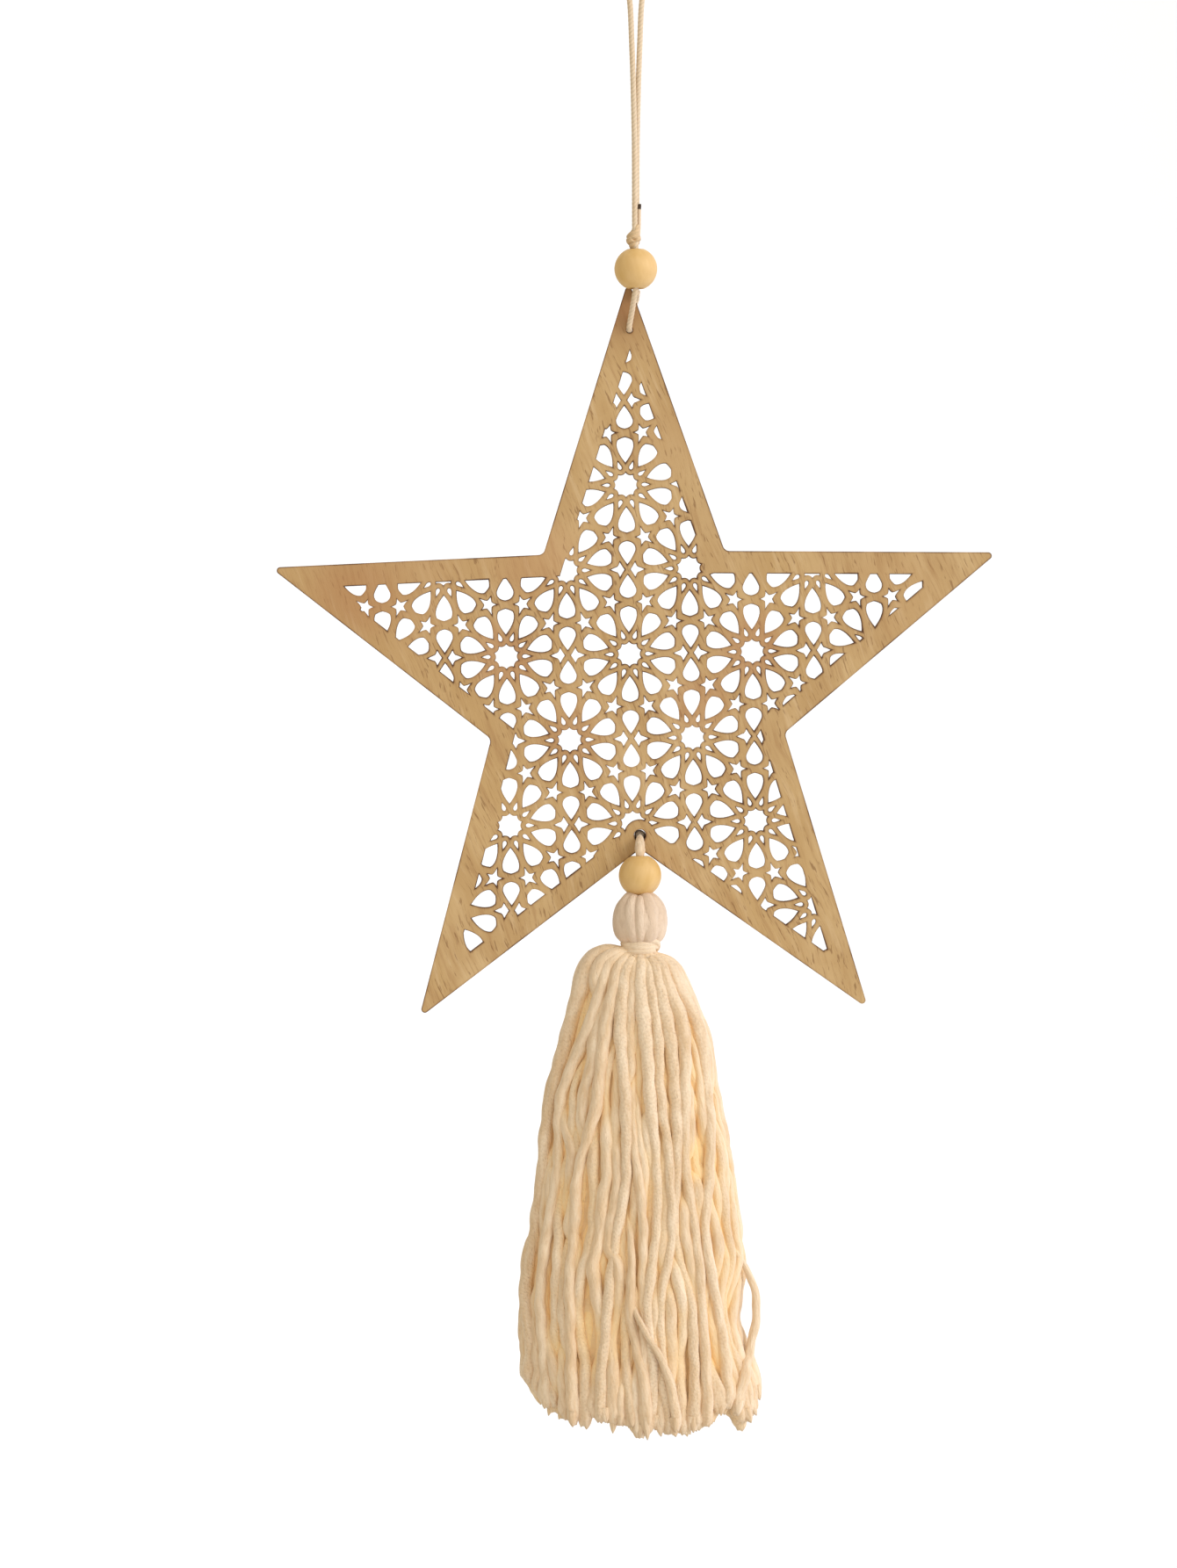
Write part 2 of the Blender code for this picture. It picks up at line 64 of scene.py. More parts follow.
# The camera looks straight at the front from a metre and a half, with the picture's upright side filling the
# lens, so the cord's bend lies just above the picture and the tassel's hem near its lower edge.
lens = bpy.data.cameras.new("camera")
lens.sensor_width = 36.0
lens.lens = 122.5
camera = bpy.data.objects.new("camera", lens)
camera.location = (-13.3 * MM, -1500 * MM, -231.6 * MM)
camera.rotation_euler = (math.radians(90), 0, 0)
scene.collection.objects.link(camera)
scene.camera = camera

# The hanging cord: one smooth waxed cotton cord, softly twisted from three plies. Both its strands rise side
# by side from the knot and bend over whatever holds them at the top, just above the picture's edge.
CORD_DIAMETER = 1.6 * MM
CORD_TWIST = 3.6 * MM
CORD_PLIES = 3
CORD_PLY_OFFSET = 0.14
CORD_SIDES = 24
# How much light a surface that faces the camera gives back in this studio, where it is pure white.
FRONT_LIGHT = 1.05


def seen_as(red, green, blue):
    """The colour that a front surface has under this light to be seen as the given screen colour.

    Each channel is decoded by the screen's curve, ((c + 0.055) / 1.055) ^ 2.4, and divided by the light."""
    shares = (np.array([red, green, blue]) / 255 + 0.055) / 1.055
    return (*(shares**2.4 / FRONT_LIGHT).tolist(), 1.0)


def node_adder(tree):
    """A function that adds a node to the tree, links or sets its inputs, and returns one of its outputs.

    Inputs and outputs go by their names, or by their numbers where several share a name."""

    def node(kind, inputs, result=0, **settings):
        new = tree.nodes.new("ShaderNode" + kind)
        for key, value in settings.items():
            setattr(new, key, value)
        for key, value in inputs.items():
            if isinstance(value, bpy.types.NodeSocket):
                tree.links.new(value, new.inputs[key])
            else:
                new.inputs[key].default_value = value
        return new.outputs[result]

    return node


def new_finish(name, roughness):
    """A material, its shader, the function that adds a node to it, and the place that is shaded."""
    made = bpy.data.materials.new(name)
    made.use_nodes = True
    shader = made.node_tree.nodes["Principled BSDF"]
    shader.inputs["Roughness"].default_value = roughness
    shader.inputs["Specular IOR Level"].default_value = 0.3
    node = node_adder(made.node_tree)
    return made, shader, node, node("TexCoord", {}, "Object")


def calc(node, operation, a, b=0.0):
    return node("Math", {0: a, 1: b}, operation=operation)


def plus(node, a, b):
    return calc(node, "ADD", a, b)


def times(node, a, b):
    return calc(node, "MULTIPLY", a, b)


def faded(node, value, start, end, low=0.0, high=1.0):
    """The value's place between start and end, held within them, carried to the range from low to high."""
    ranges = {"Value": value, "From Min": start, "From Max": end, "To Min": low, "To Max": high}
    return node("MapRange", ranges, interpolation_type="SMOOTHSTEP")


def mixed(node, share, a, b):
    """Colour a with the given share of colour b.

    The mix node takes the two colours at its inputs 6 and 7 and gives the new one at its output 2."""
    return node("Mix", {0: share, 6: a, 7: b}, 2, data_type="RGBA")


def tinted(node, colour, value, start, end, share, tone):
    """The colour drawn towards a tone, by nothing where the value is at start and by the share at end."""
    return mixed(node, faded(node, value, start, end, 0, share), colour, seen_as(*tone))


def stretched_noise(node, place, scale, detail=3.0, roughness=0.5, turn=(0, 0, 0)):
    """Noise whose grains have a size of their own along each axis: scale gives how many lie in a metre."""
    leaning = node("VectorRotate", {"Vector": place, "Rotation": turn}, rotation_type="EULER_XYZ")
    moved = node("Mapping", {"Vector": leaning, "Scale": scale})
    return node("TexNoise", {"Vector": moved, "Scale": 1.0, "Detail": detail, "Roughness": roughness})


def lay_map(node):
    """The share of the way round a tube and the length along it, from its UV map."""
    lay = node("UVMap", {}, uv_map="lay")
    return [node("SeparateXYZ", {"Vector": lay}, axis) for axis in "XY"]


def attribute(node, name):
    """The numbers that the mesh holds under this name."""
    return node("Attribute", {}, "Fac", attribute_name=name)


def connect(material, shader, colour, height=None, depth=0.0, roughness=None):
    """Links the colour to the shader, and where there are any a bump of the given depth and the roughness."""
    links = material.node_tree.links
    links.new(colour, shader.inputs["Base Color"])
    if roughness is not None:
        links.new(roughness, shader.inputs["Roughness"])
    if height is not None:
        bump = material.node_tree.nodes.new("ShaderNodeBump")
        bump.inputs["Distance"].default_value = depth
        links.new(height, bump.inputs["Height"])
        links.new(bump.outputs["Normal"], shader.inputs["Normal"])


def smooth(rows, steps):
    """A finer table through the given rows: each stretch a, b, c, d is the Catmull-Rom cubic from b to c.

    It is half of 2b + (c - a)t + (2a - 5b + 4c - d)t^2 + (3b - a - 3c + d)t^3, for t from 0 to 1."""
    rows = np.array(rows, float)
    padded = np.concatenate([[2 * rows[0] - rows[1]], rows, [2 * rows[-1] - rows[-2]]])
    a, b, c, d = padded[:-3, None], padded[1:-2, None], padded[2:-1, None], padded[3:, None]
    t = np.linspace(0, 1, steps, endpoint=False).reshape(1, -1, *[1] * (rows.ndim - 1))
    fine = 0.5 * (2 * b + (c - a) * t + (2 * a - 5 * b + 4 * c - d) * t**2 + (3 * b - a - 3 * c + d) * t**3)
    return np.concatenate([fine.reshape(-1, *rows.shape[1:]), rows[-1:]])


def distances(line):
    """How far along the line each of its points lies."""
    steps = np.linalg.norm(np.diff(line[..., :3], axis=-2), axis=-1)
    return np.concatenate([np.zeros((*steps.shape[:-1], 1)), np.cumsum(steps, axis=-1)], axis=-1)


def evenly(line, spacing):
    """The line again, with its points about the spacing apart. Columns after the third go along with them."""
    along = distances(line)
    even = np.linspace(0, along[-1], round(along[-1] / spacing) + 1)
    return np.stack([np.interp(even, along, column) for column in line.T], axis=1)


def ply_reach(around, plies, offset):
    """How far a section of round plies reaches at each angle, as a share of the farthest.

    Each ply is a circle of radius 1 - offset whose centre lies the offset away from the middle. At an angle x
    from the nearest ply's direction the reach is offset cos x + sqrt((1 - offset)^2 - offset^2 sin^2 x)."""
    part = 2 * math.pi / plies
    x = (around + part / 2) % part - part / 2
    return offset * np.cos(x) + np.sqrt((1 - offset) ** 2 - (offset * np.sin(x)) ** 2)


def angles(sides):
    """Even angles round a whole turn."""
    return np.arange(sides) * 2 * math.pi / sides


def carried(line, reach, guide):
    """Rings of points about a line, or about several: the reach at each angle, square to the line.

    The first angle points along the guide, less the guide's share along the line."""
    ahead = np.gradient(line, axis=-2)
    ahead /= np.linalg.norm(ahead, axis=-1, keepdims=True)
    out = guide - np.sum(guide * ahead, axis=-1, keepdims=True) * ahead
    out /= np.linalg.norm(out, axis=-1, keepdims=True)
    side = np.cross(ahead, out)
    turn = angles(reach.shape[-1])
    facing = np.cos(turn)[:, None] * out[..., None, :] + np.sin(turn)[:, None] * side[..., None, :]
    return line[..., None, :] + reach[..., None] * facing


def ringed_mesh(name, rings, lay, looped=False, **values):
    """One mesh of several tubes: rings is tubes by rows by sides by 3, and lay is the length at each row.

    Each tube's end rings are closed by a face, or, where looped is set, its last ring meets its first. The UV
    map holds the share of the way round and the length along. Each further value is one number for each tube,
    or one for each point."""
    tubes, rows, sides = rings.shape[:3]
    index = np.arange(tubes * rows * sides).reshape(tubes, rows, sides)
    after = np.roll(index, -1, axis=1) if looped else index[:, 1:]
    here = index if looped else index[:, :-1]
    quads = np.stack([here, np.roll(here, -1, 2), np.roll(after, -1, 2), after], axis=-1)
    count = quads.shape[1]
    faces = quads.reshape(-1, 4).tolist()
    u = (np.arange(sides)[:, None] + [0, 1, 1, 0]) / sides
    v = np.concatenate([lay, lay[:, -1:] * 2 - lay[:, -2:-1]], axis=1)
    v = np.stack([v[:, :count], v[:, :count], v[:, 1 : count + 1], v[:, 1 : count + 1]], axis=-1)
    corners = np.stack(np.broadcast_arrays(u, v[:, :, None]), axis=-1).reshape(-1, 2)
    if not looped:
        faces += index[:, 0, ::-1].tolist() + index[:, -1].tolist()
        ends = np.stack(np.broadcast_arrays(u[:, 0], lay[:, [0, -1], None]), axis=-1)
        corners = np.concatenate([corners, ends[:, 0, ::-1].reshape(-1, 2), ends[:, 1].reshape(-1, 2)])
    mesh = bpy.data.meshes.new(name)
    mesh.from_pydata(rings.reshape(-1, 3).tolist(), [], faces)
    mesh.uv_layers.new(name="lay").data.foreach_set("uv", corners.astype(np.float32).ravel())
    for key, numbers in values.items():
        spread = np.asarray(numbers, np.float32)
        spread = np.repeat(spread, rows * sides) if spread.ndim == 1 else spread.ravel()
        mesh.attributes.new(key, "FLOAT", "POINT").data.foreach_set("value", spread)
    mesh.shade_smooth()
    return mesh


def put(name, mesh, *finishes):
    made = bpy.data.objects.new(name, mesh)
    for finish in finishes:
        mesh.materials.append(finish)
    scene.collection.objects.link(made)
    return made


def ringed_piece(name, rings, lay, finish, looped=False, **values):
    """An object with such a ringed mesh, in one finish."""
    return put(name, ringed_mesh(name, rings, lay, looped, **values), finish)


def twisted_cord(route, radius, twist, guide):
    """A cord's rings and lengths: its plies wind once round in each length of the twist."""
    along = distances(route)
    winding = angles(CORD_SIDES) - 2 * math.pi * along[:, None] / twist
    reach = radius * ply_reach(winding, CORD_PLIES, CORD_PLY_OFFSET)
    return carried(route, reach, np.array(guide, float))[None], along[None]


def cord_finish(name, tone):
    """Waxed cotton: painted shade in the twist's shallow grooves, fine fibres along it, and faint soiling."""
    made, shader, node, place = new_finish(name, 0.62)
    u, v = lay_map(node)
    winding = calc(node, "SUBTRACT", u, calc(node, "DIVIDE", v, CORD_TWIST))
    plies = calc(node, "COSINE", times(node, winding, 2 * math.pi * CORD_PLIES))
    fibres = stretched_noise(node, place, (3800, 3800, 900), 4.0, 0.6)
    soil = stretched_noise(node, place, (120, 120, 60), 2.0)
    tone = np.array(tone)
    # Painted shade: darker in the grooves between the plies. The fibres add their own tone.
    shade = plus(node, faded(node, plies, -1, 0.2, 0.5, 0), faded(node, fibres, 0.35, 0.7, 0, 0.35))
    colour = mixed(node, shade, seen_as(*tone), seen_as(*(0.86 * tone)))
    colour = tinted(node, colour, soil, 0.45, 0.75, 0.3, tone * [0.93, 0.86, 0.76])
    connect(made, shader, colour, plus(node, times(node, plies, 0.5), fibres), 0.09 * MM)
    shader.inputs["Sheen Weight"].default_value = 0.15
    return made


cord_cotton = cord_finish("waxed_cotton", (232, 207, 172))
loop_half = np.array(
    [
        (0.30, 0.95, -77.2),
        (0.31, 0.95, -70.5),
        (0.32, 0.95, -64.43),
        (0.38, 0.95, -51.544),
        (0.7, 0.72, -36.384),
        (1.1, 0.35, -24.256),
        (1.65, 0.1, -12.128),
        (2.772, 0.0, -6.27),
        (3.3, 0.0, -2.5),
        (2.333, 0.0, -0.167),
    ]
)
loop_route = np.concatenate([loop_half, [(0.0, 0.0, 0.8)], (loop_half * [-1, -1, 1])[::-1]]) * MM
loop_route = evenly(smooth(loop_route, 16), 0.3 * MM)
loop_rings, loop_lay = twisted_cord(loop_route, CORD_DIAMETER / 2, CORD_TWIST, (0.2, 1, 0))
loop = ringed_piece("hanging_loop_cord", loop_rings, loop_lay, cord_cotton)
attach(loop, "root")
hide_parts("hanging_cord")

# The knot: the cord's doubled strands, wound over each other and pulled tight just above the upper bead. Only
# the winding's grooves, one deep fold and the short spare end show. The end's tip was sealed with a flame.
# Each row of the knot, in millimetres: its height, half width and half depth, and its middle's place across.
knot_form = smooth(
    [
        (-74.4, 0.85, 1.55, 0.25),
        (-75.4, 1.0, 1.75, 0.05),
        (-76.1, 1.25, 1.85, -0.18),
        (-77.0, 1.75, 2.0, -0.55),
        (-77.8, 2.05, 2.1, -0.65),
        (-78.7, 2.1, 2.1, -0.65),
        (-79.5, 1.85, 1.9, -0.7),
        (-80.2, 1.4, 1.7, -0.65),
        (-81.1, 1.1, 1.5, -0.5),
    ],
    8,
)
KNOT_SIDES = 72
# The winding: its pitch, its grooves' depth as a share of the knot's radius and their width as a share of the
# pitch, and the height where it begins and the length over which it deepens.
WINDING_PITCH = 1.9
WINDING_DEPTH = 0.12
GROOVE_WIDTH = 0.13
WINDING_TOP, WINDING_FADE = -75.6, 1.2
# The fold's place across and its height, its size each way, and how much it bends up to both sides.
FOLD = (-0.35, -78.75)
FOLD_SIZE = (0.8, 0.3)
FOLD_BEND = 0.45
FOLD_DEPTH = 0.45
TAIL_DIAMETER = 0.95 * MM
up, half, deep, middle = knot_form.T[:, :, None]
turn = angles(KNOT_SIDES)
phase = (up / WINDING_PITCH - turn / (2 * math.pi) + 0.15) % 1
wound = np.exp(-(((phase - 0.5) / GROOVE_WIDTH) ** 2)) * np.clip((WINDING_TOP - up) / WINDING_FADE, 0, 1)
across = half * np.cos(turn) + middle - FOLD[0]
above = up - FOLD[1] - FOLD_BEND * across**2
fold = np.exp(-((across / FOLD_SIZE[0]) ** 2) - (above / FOLD_SIZE[1]) ** 2) * (np.sin(turn) < 0)
share = 1 - WINDING_DEPTH * wound - FOLD_DEPTH * fold
knot_rings = MM * np.stack(
    [share * half * np.cos(turn) + middle, share * deep * np.sin(turn), up + 0 * share],
    axis=-1,
)
# The knot is the same cord drawn darker and more amber: painted shade for the tightly wound knot.
knot_shaded_cotton = cord_finish("knot_cotton_painted_shade", (219, 186, 140))
knot = ringed_piece("tight_knot", knot_rings[None, :, ::-1], -up.T * MM, knot_shaded_cotton)
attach(knot, "root")
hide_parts("cord_knot")

tail_route = np.array(
    [(0.8, -0.3, -77.6), (0.98, -0.3, -74.5), (1.0, -0.35, -72.5), (1.02, -0.4, -70.4), (1.1, -0.45, -68.6)]
)
tail_route = evenly(smooth(tail_route * MM, 12), 0.25 * MM)
tail_rings, tail_lay = twisted_cord(tail_route, TAIL_DIAMETER / 2, CORD_TWIST, (1, 0.3, 0))
tail_finish, shader, node, place = new_finish("sealed_cord_end", 0.6)
height = node("SeparateXYZ", {"Vector": place}, "Z")
fibres = stretched_noise(node, place, (3800, 3800, 900), 4.0, 0.6)
edge = plus(node, height, times(node, plus(node, fibres, -0.5), 0.5 * MM))
colour = mixed(node, fibres, seen_as(238, 214, 184), seen_as(214, 186, 150))
colour = tinted(node, colour, edge, -70.3 * MM, -69.9 * MM, 1, (70, 52, 34))
connect(tail_finish, shader, colour, fibres, 0.06 * MM)
tail = ringed_piece("sealed_spare_end", tail_rings, tail_lay, tail_finish)
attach(tail, "root")
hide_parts("cord_tail")

# The cord's two lower strands, which leave the knot, run down through the upper bead, and go through the hole
# in the star's tip and back up round its shoulder, so the star hangs from them.
star_route = np.array(
    [
        (0.0, -0.75, -79.3),
        (0.0, -0.95, -80.8),
        (0.0, -0.95, -86.8),
        (0.0, -0.95, -91.6),
        (-0.25, -0.55, -93.6),
        (-0.95, 1.0, -97.9),
        (-1.55, 2.25, -101.2),
        (-1.77, 2.6, -102.5),
        (-1.798, 3.203, -103.5),
        (-1.798, 5.103, -103.7),
        (-1.798, 7.003, -103.6),
        (-1.798, 7.653, -102.546),
        (-1.798, 7.703, -101.046),
        (-1.198, 7.703, -99.046),
        (-0.671, 7.703, -97.4),
        (0.257, 7.603, -94.7),
        (0.457, 6.403, -93.1),
        (0.557, 4.203, -93.0),
        (0.4, 2.807, -93.6),
        (0.2, 1.55, -93.4),
        (0.0, 0.95, -92.0),
        (0.0, 0.95, -86.8),
        (0.0, 0.95, -80.8),
        (0.0, 0.75, -79.3),
    ]
)
star_route = evenly(smooth(star_route * MM, 12), 0.3 * MM)
star_rings, star_lay = twisted_cord(star_route, CORD_DIAMETER / 2, CORD_TWIST, (1, 0, 0))
star_cord = ringed_piece("star_hanging_strands", star_rings, star_lay, cord_cotton)
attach(star_cord, "root")
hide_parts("star_cord")

# The two turned beads: close-grained pale wood, sanded and left bare, each a ball bored through from top to
# bottom with its rims eased. They are very slightly out of round, as turned beads are.
BEAD_RADIUS = 6.0 * MM
BORE_RADIUS = 2.1 * MM
RIM_EASING = 0.3 * MM
BEAD_ROWS = 44
BEAD_SIDES = 96


def bead_rings(centre, lean):
    """A ball's outer arc, its eased rims and its bore as one closed profile, carried round the upright axis.

    The arc's radius is the ball's times 1 + 0.006 cos(2a + lean) at the angle a round the axis."""
    rim = math.asin((BORE_RADIUS + RIM_EASING) / BEAD_RADIUS)
    arc = np.linspace(rim, math.pi - rim, BEAD_ROWS)
    outer = BEAD_RADIUS * np.stack([np.sin(arc), np.cos(arc)], axis=1)
    ease = np.linspace(0.2, 1, 6)[1:, None] * math.pi / 2
    top = outer[0, 1]
    lip_radius = BORE_RADIUS + RIM_EASING * (1 - np.sin(ease))
    lip = np.concatenate([lip_radius, top - RIM_EASING * (1 - np.cos(ease))], axis=1)
    bore = np.stack([np.full(5, BORE_RADIUS), np.linspace(-1, 1, 7)[1:-1] * (top - RIM_EASING)], axis=1)
    profile = np.concatenate([outer, lip * [1, -1], bore, lip[::-1]])
    around = angles(BEAD_SIDES)[:, None]
    radius = profile[:, 0] * (1 + 0.006 * np.cos(2 * around + lean))
    up = profile[:, 1] + 0 * around
    rings = np.stack([radius * np.cos(around), radius * np.sin(around), up], axis=-1)
    return rings + centre, BEAD_RADIUS * around[:, 0]


def bead_finish(name, grain_turn):
    """Bare turned wood: broad soft bands and fine pores along one grain direction, and paler clouds."""
    made, shader, node, place = new_finish(name, 0.5)
    shader.inputs["Specular IOR Level"].default_value = 0.5
    bands = stretched_noise(node, place, (520, 520, 70), 3.0, 0.5, grain_turn)
    pores = stretched_noise(node, place, (4200, 4200, 380), 3.0, 0.6, grain_turn)
    cloud = stretched_noise(node, place, (150, 150, 150), 1.0)
    colour = tinted(node, seen_as(226, 185, 116), bands, 0.25, 0.75, 1, (216, 173, 101))
    colour = tinted(node, colour, pores, 0.58, 0.74, 0.2, (184, 138, 78))
    colour = tinted(node, colour, cloud, 0.35, 0.7, 0.4, (228, 190, 134))
    connect(made, shader, colour, pores, 0.04 * MM, faded(node, bands, 0.3, 0.7, 0.42, 0.52))
    return made


for name, node_name, centre, lean, grain_turn in (
    ("upper_turned_bead", "top_bead", (0, 0, -86.8), 0.4, (0.1, 0.2, 0)),
    ("lower_turned_bead", "bottom_bead", (1.185, 0, -257.322), 2.0, (0.15, -0.25, 0.6)),
):
    rings, lay = bead_rings(np.array(centre) * MM, lean)
    finish = bead_finish(name + "_wood", grain_turn)
    bead = ringed_piece(name, rings[None], lay[None], finish, looped=True)
    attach(bead, "root")
    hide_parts(node_name)

# The star: a sheet of three-ply wood, laser cut to a five-pointed star and through its whole middle to a
# lattice of ten-petal rosettes. The laser left thin scorched lines, dark brown cut walls and faint smoke. The
# lines beside the edges also carry painted shade, to the right of and below each cut and along the border.
PLATE_THICKNESS = 3.0 * MM
PLATE_CENTRE = np.array([0.3, 5.1027, -203.7995]) * MM
STAR_TIP_RADIUS = 107.8 * MM
STAR_NOTCH_RADIUS = 43.5 * MM
STAR_TALLNESS = 1.061
STAR_TILT_DEGREES = 1.2
BORDER_WIDTH = 6.2 * MM
TAB_RADIUS = 4.5 * MM
CELL_APOTHEM = 14.75 * MM
LATTICE_SHIFT = np.array([-1.9, 8.9]) * MM
TIP_ROUNDING = 1.0 * MM
NOTCH_ROUNDING = 2.0 * MM
CORD_HOLE_RADIUS = 0.86 * MM
CORD_HOLE_FROM_TIP = 14.2 * MM
YARN_HOLE_RADIUS = 1.65 * MM
YARN_HOLE_FROM_NOTCH = 3.9 * MM
# The side of a square as large as the smallest cut that is kept.
SMALLEST_CUT = 1.15 * MM
SHORTEST_SIDE = 0.04 * MM
SCORCH_WIDTH = 0.64 * MM
# How dark the line along the outer border and along a cut's smooth edge is, where a cut's sharp corner is 1.
# The border's line is painted shade along the star's edge as well as scorch.
BORDER_SCORCH = 0.8
CUT_SCORCH = 0.74
# The dark line reaches further to the right and down, by this share of its width. There it is painted shade
# for the shaded cut walls that show at that side of each cut.
SHADE_LEAN = np.array([0.3, -0.4])
# Two points of the flat outlines nearer than this, in millimetres, are one.
MERGED = 1e-5
# The lattice's shapes in shares of the cell's apothem: a rosette of ten petals in each cell, and small stars,
# drops and darts between them. Each side is a run of curves: a point, a point that pulls the curve, the next
# point, and so on.
HUB_POINT, HUB_PULL = 0.236, 0.176
PETAL_SIDE = ((0.423, 0), (0.585, 0.134), (0.728, 0.157), (0.812, 0.167), (0.862, 0.134))
PETAL_END = ((0.862, 0.134), (0.9, 0.075), (0.915, 0))
STAR_LONG_POINT, STAR_SHORT_POINT, STAR_INNER_CORNER = 0.203, 0.156, 0.078
DROP_SIDE = ((0.1, 0), (0.235, 0.11), (0.368, 0.158), (0.47, 0.17), (0.52, 0.085))
DROP_END = ((0.52, 0.085), (0.54, 0.04), (0.545, 0))
DART_SIDE = (
    *((0.058, 0), (0.1, 0.062), (0.147, 0.142), (0.165, 0.085)),
    *((0.195, 0.055), (0.255, 0.036), (0.323, 0)),
)
KITE_SIDE = (
    *((0.303, 0), (0.303, 0.022), (0.33, 0.034), (0.36, 0.042)),
    *((0.38, 0.034), (0.425, 0.018), (0.467, 0)),
)


def turned(outline, degrees):
    """A flat outline turned about the origin, anticlockwise."""
    c, s = math.cos(math.radians(degrees)), math.sin(math.radians(degrees))
    return np.asarray(outline, float) @ np.array([[c, s], [-s, c]])


def curved(run, steps):
    """Points along a run of curves, each (1 - t)^2 a + 2t(1 - t) b + t^2 c, without the run's last point."""
    run = np.array(run, float)
    a, b, c = run[:-2:2, None], run[1:-1:2, None], run[2::2, None]
    t = np.linspace(0, 1, steps, endpoint=False)[:, None]
    return ((1 - t) ** 2 * a + 2 * t * (1 - t) * b + t**2 * c).reshape(-1, 2)


def mirrored(side, end):
    """A closed anticlockwise outline from its half above the X axis, given from its inner to its outer point.

    The outline runs out along that half turned over, to the end, and back along the half itself."""
    half = np.concatenate([side, [end]]) * [1, -1]
    return np.concatenate([half, half[-2:0:-1] * [1, -1]])


def pointed_star(towards):
    """A small star with curved sides whose long points face the two rosettes that it lies between."""
    outline = []
    for k in range(5):
        direction = towards[0] + 72 * k
        long = (direction - towards[0]) % 360 == 0 or (direction - towards[1]) % 360 == 0
        tip = [STAR_LONG_POINT if long else STAR_SHORT_POINT, 0.0]
        for first, last in ((-36, 0), (0, 36)):
            inner = turned([[STAR_INNER_CORNER, 0.0]], first + last)[0]
            pull = 0.5 * (np.array(tip) + inner) * [0.9, 0.72]
            ends = (inner, pull, tip) if first else (tip, pull, inner)
            outline.append(turned(curved(ends, 4), direction))
    return np.concatenate(outline)


def rosette_cuts():
    """The cuts of one repeat of the lattice about its rosette, in shares of the cell's apothem."""
    corner = 1 / math.cos(math.radians(18))
    pull = turned([[HUB_PULL, 0.0]], 36)[0]
    tips = turned([[HUB_POINT, 0.0]], 18)[0], turned([[HUB_POINT, 0.0]], 54)[0]
    cuts = [np.concatenate([turned(curved((tips[0], pull, tips[1]), 5), 36 * k) for k in range(10)])]
    petal = mirrored(np.concatenate([curved(PETAL_SIDE, 5), curved(PETAL_END, 3)]), PETAL_END[-1])
    kite = mirrored(curved(KITE_SIDE, 2), KITE_SIDE[-1])
    cuts += [turned(petal, 18 + 36 * k) for k in range(10)]
    cuts += [turned(kite, 36 * k) for k in range(10)]
    for at, other in ((36, 72), (72, 36), (108, 144), (144, 108)):
        place = corner * np.array([math.cos(math.radians(at)), math.sin(math.radians(at))])
        cuts.append(pointed_star((at + 180, other)) + place)
    crossing = np.array([2 * math.cos(math.radians(54)), 0.0])
    drop = mirrored(np.concatenate([curved(DROP_SIDE, 5), curved(DROP_END, 3)]), DROP_END[-1])
    dart = mirrored(curved(DART_SIDE, 4), DART_SIDE[-1])
    cuts += [turned(drop, side) + crossing for side in (90, 270)]
    cuts += [turned(dart, side) + crossing for side in (0, 180)]
    return cuts


def lattice_cuts(reach):
    """Every repeat's cuts over the plate. The repeats lie on every second place of an upright grid."""
    across = 2 * math.cos(math.radians(54)) * CELL_APOTHEM
    down = 2 * math.sin(math.radians(54)) * CELL_APOTHEM
    repeats = np.arange(-math.ceil(reach / across) - 1, math.ceil(reach / across) + 2)
    i, j = np.meshgrid(repeats, repeats, indexing="ij")
    middles = LATTICE_SHIFT + np.stack([i * across, j * down], axis=-1)[(i + j) % 2 == 0]
    middles = middles[np.abs(middles).max(axis=1) < reach + 2 * CELL_APOTHEM]
    return [CELL_APOTHEM * cut + middle for middle in middles for cut in rosette_cuts()]


def star_corners():
    """The ten sharp corners of the star, tips and notches in turn, anticlockwise from the top tip."""
    angle = np.radians(90 + 36 * np.arange(10))
    radius = np.where(np.arange(10) % 2, STAR_NOTCH_RADIUS, STAR_TIP_RADIUS)
    return np.stack([radius * np.cos(angle), STAR_TALLNESS * radius * np.sin(angle)], axis=1)


def inset(corners, distance):
    """The outline this far inside a closed anticlockwise one, its corners where the moved sides meet."""
    before, after = corners - np.roll(corners, 1, axis=0), np.roll(corners, -1, axis=0) - corners
    sides = np.stack([before, after], axis=1)
    sides /= np.linalg.norm(sides, axis=-1, keepdims=True)
    inward = np.stack([-sides[..., 1], sides[..., 0]], axis=-1)
    return corners + np.linalg.solve(inward, np.full((len(corners), 2, 1), distance))[..., 0]


def grown(outline, distance, shade_lean=(0.0, 0.0)):
    """A closed anticlockwise outline's points moved outwards, at sharp corners by twice the distance at most.

    Where the outline faces along the lean, they move further by the lean's share of the distance."""
    sides = np.stack([outline - np.roll(outline, 1, axis=0), np.roll(outline, -1, axis=0) - outline])
    before, after = sides / np.maximum(np.linalg.norm(sides, axis=-1, keepdims=True), 1e-9)
    along = before + after
    outward = np.stack([along[:, 1], -along[:, 0]], axis=1)
    outward /= np.maximum(np.linalg.norm(outward, axis=1, keepdims=True), 1e-6)
    opening = np.maximum(np.sum(outward * np.stack([after[:, 1], -after[:, 0]], axis=1), axis=1), 0.5)
    distance = distance * (1 + outward @ shade_lean) / opening
    return outline + outward * distance[:, None]


